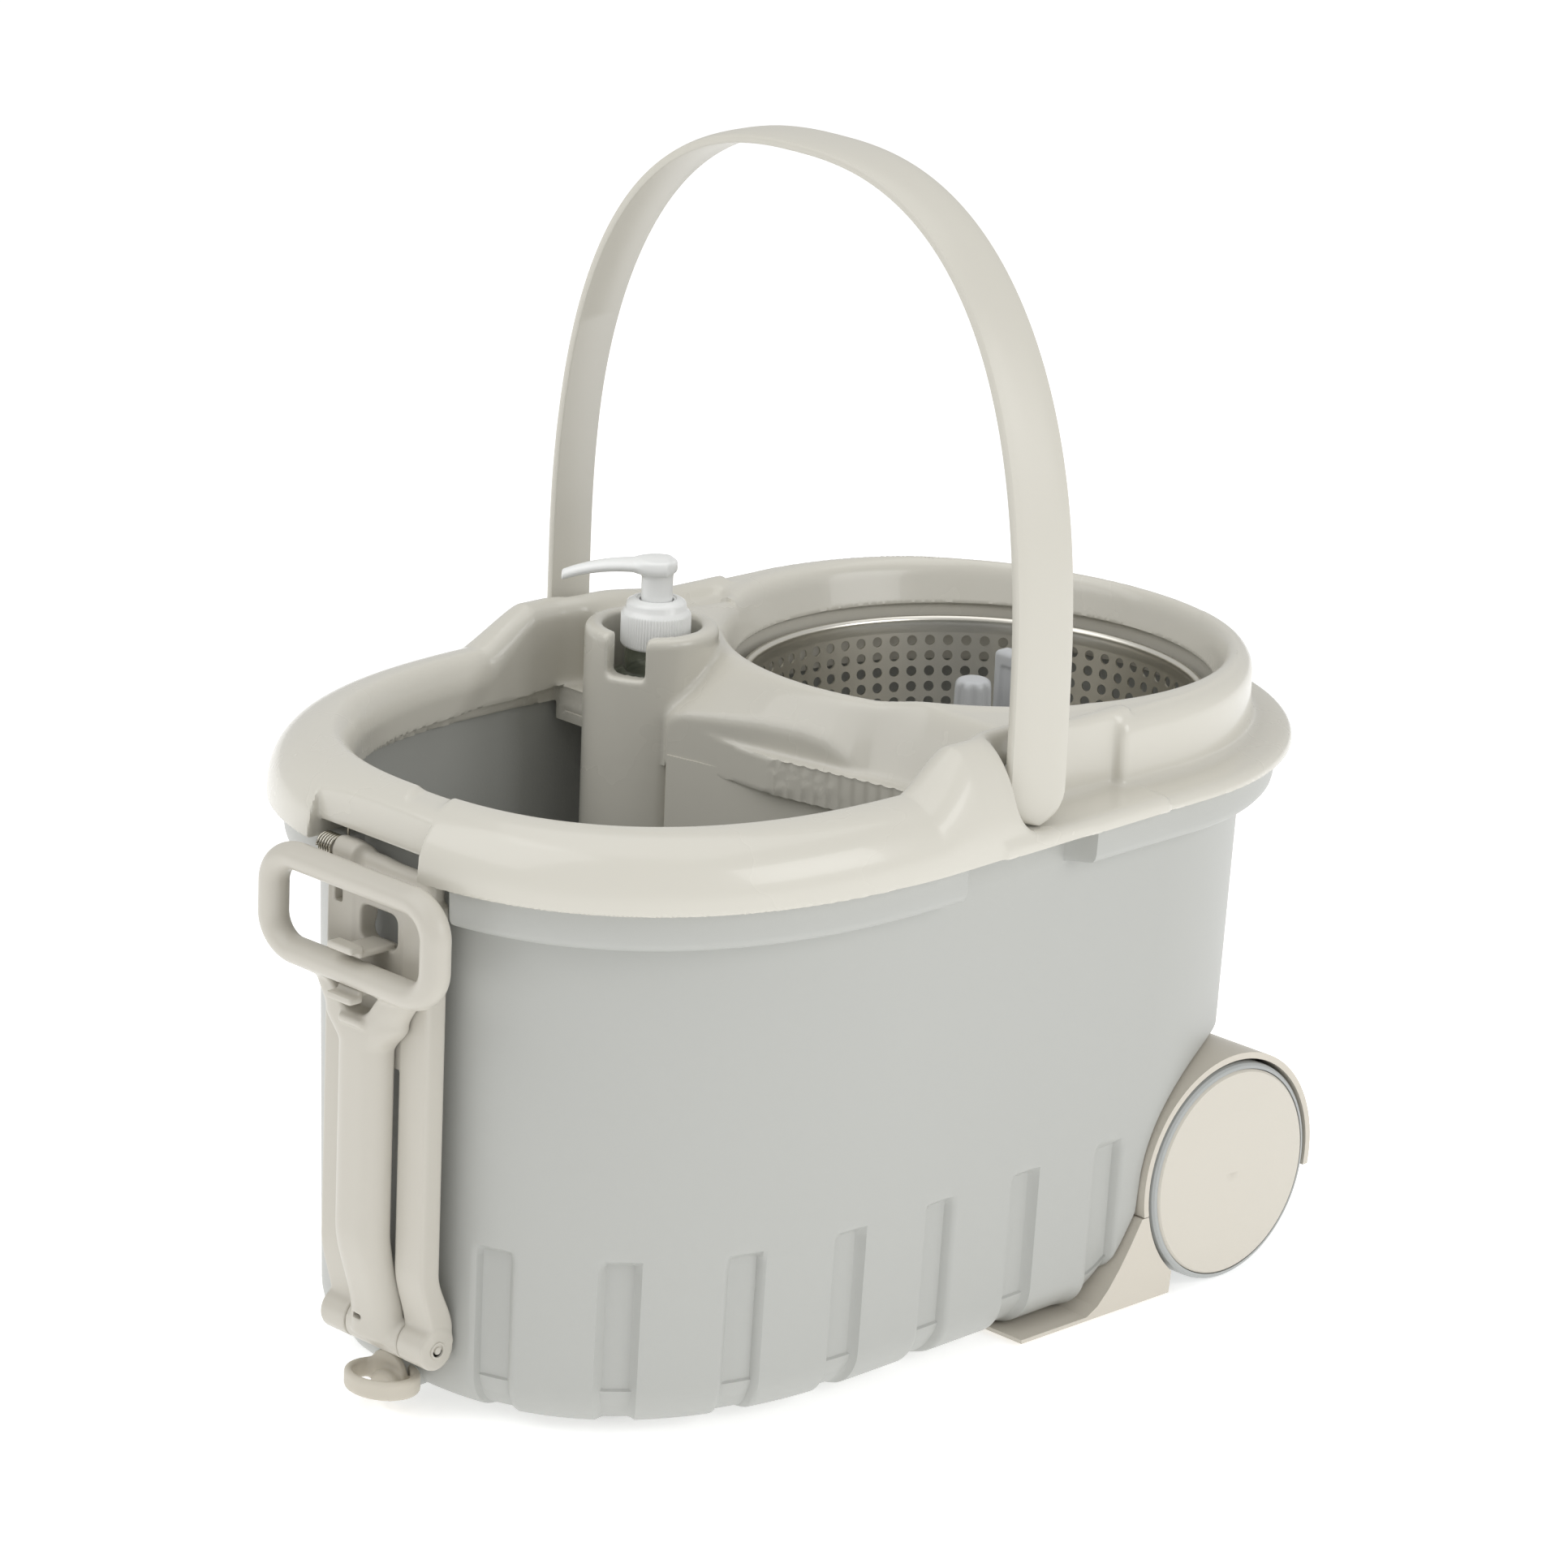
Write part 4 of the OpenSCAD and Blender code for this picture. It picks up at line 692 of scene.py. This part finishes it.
def pull_frame_field(x, y, z):
    """Two rails, a head plate with the hinge's barrel, and two clips for the grip."""
    ay = np.abs(y)
    bend = ramp(z, 68, 36)
    front = FRAME_FRONT + 6.5 * bend
    back = FRAME_BACK + 8.0 * ramp(z, 66, 40)
    side = smax(front - x, x - back, 1.2)
    rail = smax(side, np.abs(ay - (FRAME_HALF + RAIL_IN) / 2) - (FRAME_HALF - RAIL_IN) / 2, 1.6)
    rail = smax(rail, np.maximum(z - 222, FOOT_Z + 2 - z), 1)
    eye = np.hypot(x - FOOT_X, z - FOOT_Z) - KNUCKLE_R
    eye_in = ARM_EYE + 0.3
    eye = smax(eye, np.abs(ay - (FRAME_HALF + eye_in) / 2) - (FRAME_HALF - eye_in) / 2, 1.0)
    solid = smin(rail, eye, 1.5)
    plate = block_sd(x, y, z, (FRAME_FRONT + 0.6, -20, 150), (FRAME_BACK - 1, 20, 222), 1)
    solid = smin(solid, plate, 1)
    # sloping head, low at one side and rising to the barrel at the spring
    top = 233.4 + 0.8 * ramp(y, -6, 6) + 2.2 * ramp(y, 9, 20)
    head = smax(smax(FRAME_FRONT + 2.2 - x, x - FRAME_BACK, 1), ay - FRAME_HALF + 1.5, 3)
    head = smax(head, smax(z - top, 205 - z, 1), 4)
    solid = smin(solid, head, 2.5)
    round_head = np.hypot(x - HEAD_X, z - HEAD_Z)
    barrel = smax(round_head - HEAD_R, np.maximum(y - 26.6, 14 - y), 1.5)
    solid = smin(solid, barrel, 4)
    solid = np.minimum(solid, smax(round_head - 3.5, np.maximum(y - 37, 20 - y), 1))
    window = block_sd(x, y, z, (-240, -11, 199), (-200, 11, 214), 4)
    solid = smax(solid, -window, 1.4)
    hole = block_sd(x, y, z, (-240, 21.6, 211.6), (-222, 26.4, 217.2), 0.8)
    solid = smax(solid, -hole, 0.6)
    # clips over and under the grip's lower bar
    for z0, stem in CLIPS:
        lip = block_sd(x, y, z, (-246.6, -7.3, z0 - 1.5), (-239.6, 7.3, z0 + 1.5), 0.9)
        root = block_sd(x, y, z, (-241, -6.6, stem - 1.4), (-222, 6.6, stem + 1.4), 0.8)
        solid = np.minimum(solid, smin(lip, root, 1.5))
    return solid


def pull_arm_field(x, y, z):
    """The crowned arm with its eye at the foot and a loop of round bar on top."""
    ay = np.abs(y)
    shift = 9.5 * ramp(z, 82, 38)
    wide = ARM_HALF + 8.5 * ramp(z, 158, 171) + 6 * ramp(z, 171, 184)
    front = smax(ARM_FRONT + shift - x, ay - wide, 10)
    body = smax(front, x - ARM_BACK - shift * 0.9, 2)
    body = smax(body, np.maximum(z - 190, 31 - z), 2)
    eye = smax(np.hypot(x - FOOT_X, z - FOOT_Z) - KNUCKLE_R + 0.1, ay - ARM_EYE, 1)
    solid = smin(body, eye, 2)
    # loop of round bar
    qy = ay - (GRIP_W - GRIP_R - GRIP_TURN)
    qz = np.abs(z - GRIP[1]) - (GRIP_H - GRIP_R - GRIP_TURN * 0.9)
    flat = np.hypot(np.clip(qy, 0, None), np.clip(qz, 0, None) / 0.9)
    flat = flat + np.minimum(np.maximum(qy, qz), 0) - GRIP_TURN
    loop = np.hypot(flat, x - GRIP[0]) - GRIP_R
    solid = smin(solid, loop, 5)
    # opening under the bar, with a lip for the thumb
    hollow = smax(smax(ay - 5.2 - 0.75 * (z - 172), 173.5 - z, 4), z - 185, 1)
    hollow = smax(hollow, x + 229.5, 1)
    solid = smax(solid, -hollow, 2)
    thumb = block_sd(x, y, z, (-240.6, -7.2, 168.5), (-236, 7.2, 172.2), 1.6)
    solid = smin(solid, thumb, 2)
    # room for the clips and the small slot near the foot
    for z0, _ in CLIPS:
        solid = smax(solid, -block_sd(x, y, z, (-260, -7.8, z0 - 2), (-225, 7.8, z0 + 2), 0.5), 0.6)
    foot_slot = np.hypot(np.clip(np.abs(y - 5.4) - 1.6, 0, None), z - 39.5) - 1.2
    return smax(solid, -np.maximum(foot_slot, x + 224), 0.5)


def moulded(name, field, low, high, step, slot, body, replaces, sharp=50):
    """A piece from the zero level of a field."""
    return piece(name, *surface_nets(field, low, high, step), slot, body, replaces, sharp)


FINE = 0.8
moulded("pull_frame_shell", pull_frame_field, (-249, -33.5, 22), (-205, 33.5, 240), FINE,
        "pull_plastic", "pull_frame", ("pull_frame",))
moulded("pull_arm_shell", pull_arm_field, (-248, -58, 22), (-205, 58, 238), FINE,
        "pull_plastic", "pull_arm", ("pull_arm",))
AXIS_R = 0.01  # radius of a lathe's closed end
hinge_rod = [(AXIS_R, 16), (2.0, 16), (2.0, 39), (AXIS_R, 39)]
lathe("hinge_rod", hinge_rod, (HEAD_X, 0, HEAD_Z), "spring_steel", "pull_frame", "y", 32,
      ("top_hinge_pin",))
foot_rod = [(AXIS_R, 28), (3.7, 28), (3.7, 31.5), (3.5, 31.8), (2.8, 31.8), (2.6, 31.0),
            (1.7, 31.0), (1.5, 31.7), (AXIS_R, 31.7)]
for name, way in (("foot_rod_left", 1), ("foot_rod_right", -1)):
    lathe(name, [(r, way * h) for r, h in foot_rod], (FOOT_X, 0, FOOT_Z), "pull_plastic",
          "pull_frame", "y", 32, ("low_hinge_pin",))


def wire(name, path, r, slot, body, replaces, around=8):
    """Round wire along a path of points."""
    path = np.asarray(path, float)
    d = np.gradient(path, axis=0)
    d /= np.linalg.norm(d, axis=1, keepdims=True)
    u = np.cross(d, (0.31, 0.12, 0.94))
    u /= np.linalg.norm(u, axis=1, keepdims=True)
    v = np.cross(d, u)
    a = np.linspace(0, 2 * math.pi, around, endpoint=False)
    c, s = np.cos(a)[None, :, None], np.sin(a)[None, :, None]
    rings = path[:, None] + r * (c * u[:, None] + s * v[:, None])
    return piece(name, *tube_mesh(rings), slot, body, replaces)


COIL_R, COIL_Y, COIL_LEN, COIL_TURNS, WIRE_R = 4.6, 27.4, 8.2, 5.5, 0.6
spring = [(HEAD_X + COIL_R, COIL_Y - 0.2, HEAD_Z + h) for h in np.linspace(11, WIRE_R, 8)]
turns = np.linspace(0, COIL_TURNS * 2 * math.pi, 160)
for a in turns:
    along = COIL_Y + COIL_LEN * a / turns[-1]
    spring.append((HEAD_X + COIL_R * math.cos(a), along, HEAD_Z + COIL_R * math.sin(a)))
wire("spring_wire", spring, WIRE_R, "spring_steel", "pull_frame", ("hinge_spring",))

# ---------------------------------------------------------------- basket

BASKET_TOP, BASKET_OUT, BASKET_Z = 247.5, 101.2, 161.5
BASKET_FOOT, SHEET = BASKET_OUT - 10, 0.8
CELLS, ROWS, ROW_PITCH, HOLE_R = 75, 10, 6.9, 2.35
HOLES_TOP = BASKET_TOP - 7.5
HOLES_LOW = HOLES_TOP - ROWS * ROW_PITCH
ROLL_R, ROLL_X, ROLL_Z = 2, 99.2, 245.5
# a cell's edge points, one for each of its hole's twelve
EDGE = 0.577
SQUARE = (
    (1, 0), (1, EDGE), (EDGE, 1), (0, 1), (-EDGE, 1), (-1, EDGE),
    (-1, 0), (-1, -EDGE), (-EDGE, -1), (0, -1), (EDGE, -1), (1, -EDGE),
)


def basket_radius(z):
    """Outer radius of the basket's wall at a height."""
    return BASKET_FOOT + (ROLL_X - BASKET_FOOT) * (z - BASKET_Z) / (ROLL_Z - BASKET_Z)


def basket_mesh():
    """Perforated sheet: every cell is a square with a twelve-sided hole, both sides."""
    pts, fcs = [], []
    k = len(SQUARE)
    da = 2 * math.pi / CELLS

    def add(a, z, inside):
        r = basket_radius(z) - (SHEET if inside else 0)
        pts.append((BASKET_X + r * math.cos(a), r * math.sin(a), z))
        return len(pts) - 1

    for j in range(CELLS):
        for i in range(ROWS):
            ac, zc = (j + 0.5) * da, HOLES_TOP - (i + 0.5) * ROW_PITCH
            hole_a = HOLE_R / basket_radius(zc)
            loops = []
            for inside in (False, True):
                outer, inner = [], []
                for q, (sx, sz) in enumerate(SQUARE):
                    outer.append(add(ac + sx * da / 2, zc + sz * ROW_PITCH / 2, inside))
                    c, s = math.cos(2 * math.pi * q / k), math.sin(2 * math.pi * q / k)
                    inner.append(add(ac + hole_a * c, zc + HOLE_R * s, inside))
                loops.append(inner)
                for q in range(k):
                    quad = (outer[q], outer[(q + 1) % k], inner[(q + 1) % k], inner[q])
                    fcs.append(quad[::-1] if inside else quad)
                # corner of the cell between two of its points
                for q, sx, sz in ((1, 1, 1), (4, -1, 1), (7, -1, -1), (10, 1, -1)):
                    corner = add(ac + sx * da / 2, zc + sz * ROW_PITCH / 2, inside)
                    tri = (outer[q], corner, outer[(q + 1) % k])
                    fcs.append(tri[::-1] if inside else tri)
            i0, i1 = loops
            for q in range(k):
                fcs.append((i0[q], i0[(q + 1) % k], i1[(q + 1) % k], i1[q]))
    return pts, fcs


piece("basket_sheet", *basket_mesh(), "basket_steel", "wringer", ("basket",), sharp=40)
r_top, r_low = basket_radius(HOLES_TOP), basket_radius(HOLES_LOW)
rim = [(r_top, HOLES_TOP), (98.9, 243.2)]
for a in np.linspace(math.radians(-90), math.radians(180), 14):
    rim.append((ROLL_X + ROLL_R * math.cos(a), ROLL_Z + ROLL_R * math.sin(a)))
rim += [(97.6, 244.2), (98.0, 243), (r_top - SHEET, HOLES_TOP)]
foot = [
    (r_low, HOLES_LOW), (BASKET_FOOT + 1, BASKET_Z + 3), (BASKET_FOOT - 2, BASKET_Z),
    (70, BASKET_Z), (70, BASKET_Z + SHEET), (BASKET_FOOT - 2.6, BASKET_Z + SHEET),
    (BASKET_FOOT, BASKET_Z + 3.6), (r_low - SHEET, HOLES_LOW),
]
for name, profile in (("basket_rim", rim), ("basket_floor", foot)):
    lathe(name, profile, (BASKET_X, 0, 0), "basket_steel", "wringer", segments=150,
          replaces=("basket",), sharp=60)

# fluted knob of the drive hub and the flat post beside it


KNOB_R, KNOB_TOP, KNOB_FLUTE_X, KNOB_FLUTE_R = 8.6, 248.5, 9.2, 2.2


def knob_field(x, y, z):
    """A tapered knob with eight grooves on a wider foot."""
    r = np.hypot(x - BASKET_X, y)
    a = np.arctan2(y, x - BASKET_X)
    body = smax(r - KNOB_R + 0.035 * (z - 230), z - KNOB_TOP, 4)
    off = np.mod(a + math.pi / 8, math.pi / 4) - math.pi / 8
    grooves = np.hypot(r - KNOB_FLUTE_X, KNOB_FLUTE_X * off) - KNOB_FLUTE_R
    body = smax(body, -np.maximum(grooves, z - 260), 0.8)
    foot = smax(r - 10.6, z - 180, 1)
    return smax(smin(body, foot, 2), 153 - z, 0.5)


def post_field(x, y, z):
    """A flat post with a groove in the face towards the knob."""
    body = block_sd(x, y, z, (BASKET_X + 20, -8, 160), (BASKET_X + 29, 8, 256), 2.4)
    groove = block_sd(x, y, z, (BASKET_X + 10, -3.5, 170), (BASKET_X + 21, 3.5, 250), 1.5)
    return smax(body, -groove, 0.8)


moulded("drive_knob", knob_field, (98, -13, 150), (124, 13, 251), FINE,
        "white_plastic", "wringer", ("drive_hub",))
moulded("lock_post", post_field, (128, -11, 157), (143, 11, 259), FINE,
        "white_plastic", "wringer", ("drive_hub",))

# ---------------------------------------------------------------- drain plug


def plug_field(x, y, z):
    """An oval pull ring on a flange, with a stub in the spout."""
    u, v, w = x + 221.5, y + 3.5, z - 13
    flat = (np.hypot(u / 0.78, v) - 15.6) * 0.85
    ring_sd = smax(np.abs(flat) - 1.7, np.abs(w + 0.04 * v) - 4.2, 2.2)
    flange = smax(np.hypot(y, z - DRAIN_Z) - 10.4, np.abs(x + 214.9) - 1.5, 1)
    lug = smax(np.hypot(v / 1.3, w + 3.4) - 6.5, np.abs(x + 218) - 3.2, 2)
    stub = smax(np.hypot(y, z - DRAIN_Z) - 6.1, np.abs(x + 206) - 8, 0.8)
    return smin(smin(ring_sd, smin(lug, flange, 2), 2), stub, 0.5)


moulded("plug_loop", plug_field, (-236, -23, 0.5), (-197, 17, 25), FINE,
        "plug_rubber", "drain_plug", ("drain_plug",))

# ---------------------------------------------------------------- soap pump

PUMP_X, PUMP_Y = -10.5, 71.5
BARREL_R, RIBS, RIB_DEPTH = 14.7, 72, 0.22
NOZZLE, NOZZLE_LEN = math.radians(135), 40
# closure: (radius, height, share of the ribs' depth)
CLOSURE = (
    (12.0, 268.5, 0), (13.9, 268.3, 0), (BARREL_R - 0.2, 268.9, 0.4), (BARREL_R, 269.8, 1),
    (BARREL_R, 282.0, 1), (BARREL_R - 0.2, 282.8, 0.4), (BARREL_R - 0.5, 283.2, 0),
    (13.6, 284.2, 0), (12.9, 285.0, 0), (12.8, 286.6, 0), (12.2, 287.6, 0), (10.6, 288.5, 0),
    (9.6, 288.9, 0), (8.6, 288.9, 0), (8.2, 288.4, 0), (7.4, 288.3, 0), (7.4, 284, 0),
    (12.0, 283.5, 0),
)
around = np.linspace(0, 2 * math.pi, RIBS * 4, endpoint=False)
wave = np.sin(around * RIBS)
rib = RIB_DEPTH * np.sign(wave) * np.minimum(1, np.abs(wave) * 2)
pts = []
for r, h, share in CLOSURE:
    r = r + share * rib
    x, y = PUMP_X + r * np.cos(around), PUMP_Y + r * np.sin(around)
    pts.append(np.stack([x, y, np.full(len(around), h)], 1))
faces = grid_faces(len(CLOSURE), len(around), loop_rows=True, loop_cols=True)
piece("pump_collar", np.concatenate(pts), faces, "pump_plastic", "bucket", ("pump_closure",),
      sharp=40)


def head_field(x, y, z):
    """The pump's neck, its cap and the nozzle."""
    c, s = math.cos(NOZZLE), math.sin(NOZZLE)
    u = (x - PUMP_X) * c + (y - PUMP_Y) * s
    v = -(x - PUMP_X) * s + (y - PUMP_Y) * c
    r = np.hypot(u, v)
    body = smax(r - 6.7, np.maximum(z - 303, 278 - z), 1)
    cap = smax(r - 8.4, np.maximum(z - 305.8 + 0.004 * u * u, 300.6 - z), 1.6)
    # nozzle: rises a little, then droops towards its tip
    f = np.clip(u / NOZZLE_LEN, 0, 1)
    mid = 302.6 + 1.2 * np.sin(f * math.pi * 0.6) - 6.4 * f ** 2.4
    wide, tall = 7.6 - 4.6 * f ** 0.8, 3.2 - 0.9 * f
    nozzle = (np.hypot(v / wide, (z - mid) / tall) - 1) * np.minimum(wide, tall)
    nozzle = smax(nozzle, np.maximum(u - NOZZLE_LEN - 0.5, -4 - u), 1.2)
    solid = smin(body, smin(cap, nozzle, 3), 2)
    bore = np.hypot(v, z - mid) - 1.3
    return smax(solid, -np.maximum(bore, 34 - u), 0.4)


moulded("pump_spout", head_field, (-44, 60, 276), (1, 106, 308), 0.6,
        "pump_plastic", "pump_head", ("pump_head",))

# ---------------------------------------------------------------- camera and light

scene = bpy.context.scene
scene.view_settings.view_transform = "Standard"
AZ, EL, ROLL = math.radians(-45.1), math.radians(17.7), math.radians(2.4)
PLACE = (-1.860, -1.852, 1.060)
SENSOR_MM, IMAGE_PX, FOCAL_PX = 36.0, 1932, 8100
right = Vector((math.cos(AZ), math.sin(AZ), 0))
back = Vector((math.sin(AZ) * math.cos(EL), -math.cos(AZ) * math.cos(EL), math.sin(EL)))
up = back.cross(right)
right2 = math.cos(ROLL) * right + math.sin(ROLL) * up
up2 = -math.sin(ROLL) * right + math.cos(ROLL) * up
cam = bpy.data.cameras.new("camera")
cam.sensor_width = SENSOR_MM
cam.lens = FOCAL_PX / IMAGE_PX * SENSOR_MM
cam.clip_start, cam.clip_end = 0.1, 20.0
camera = bpy.data.objects.new("camera", cam)
scene.collection.objects.link(camera)
turned = Matrix((right2, up2, back)).transposed().to_4x4()
camera.matrix_world = Matrix.Translation(PLACE) @ turned
scene.camera = camera

# soft grey light all round, and a white ground for the camera alone
world = bpy.data.worlds.new("world")
scene.world = world
world.use_nodes = True
wn, wl = world.node_tree.nodes, world.node_tree.links
bg = wn["Background"]
bg.inputs["Color"].default_value = (1.0, 1.0, 0.99, 1)
bg.inputs["Strength"].default_value = 0.55
white = wn.new("ShaderNodeBackground")
white.inputs["Color"].default_value = (1, 1, 1, 1)
white.inputs["Strength"].default_value = 1.0
path_node = wn.new("ShaderNodeLightPath")
mix = wn.new("ShaderNodeMixShader")
wl.new(path_node.outputs["Is Camera Ray"], mix.inputs[0])
wl.new(bg.outputs[0], mix.inputs[1])
wl.new(white.outputs[0], mix.inputs[2])
wl.new(mix.outputs[0], wn["World Output"].inputs["Surface"])


def softbox(name, place, size, power_w):
    """A square or oblong lamp that faces the bucket's middle."""
    light = bpy.data.lights.new(name, "AREA")
    light.shape = "RECTANGLE"
    light.size, light.size_y = size
    light.energy = power_w
    o = bpy.data.objects.new(name, light)
    o.location = place
    o.rotation_euler = (Vector(MIDDLE) - Vector(place)).to_track_quat("-Z", "Y").to_euler()
    scene.collection.objects.link(o)


MIDDLE = (0, 0, 0.2)
softbox("key", (-1.6, 0.6, 2.0), (2.2, 2.2), 20)
softbox("fill", (0.5, -2.2, 1.2), (1.6, 1.2), 16)
softbox("top", (0.2, 0.1, 2.4), (2.2, 2.2), 12)

FLOOR_HALF, FLOOR_DROP = 6.0, 0.0006
floor_mesh = bpy.data.meshes.new("floor")
corners = ((-1, -1), (1, -1), (1, 1), (-1, 1))
floor_pts = [(x * FLOOR_HALF, y * FLOOR_HALF, -FLOOR_DROP) for x, y in corners]
floor_mesh.from_pydata(floor_pts, [], [(0, 1, 2, 3)])
floor = bpy.data.objects.new("floor", floor_mesh)
scene.collection.objects.link(floor)
floor_mat = bpy.data.materials.new("floor_white")
floor_mat.use_nodes = True
floor_shader = floor_mat.node_tree.nodes["Principled BSDF"]
floor_shader.inputs["Base Color"].default_value = (0.95, 0.95, 0.95, 1)
floor_shader.inputs["Roughness"].default_value = 0.9
floor_shader.inputs["Specular IOR Level"].default_value = 0.0
floor_shader.inputs["Emission Color"].default_value = (1, 1, 1, 1)
floor_shader.inputs["Emission Strength"].default_value = 0.45
floor_mesh.materials.append(floor_mat)

bpy.context.view_layer.update()
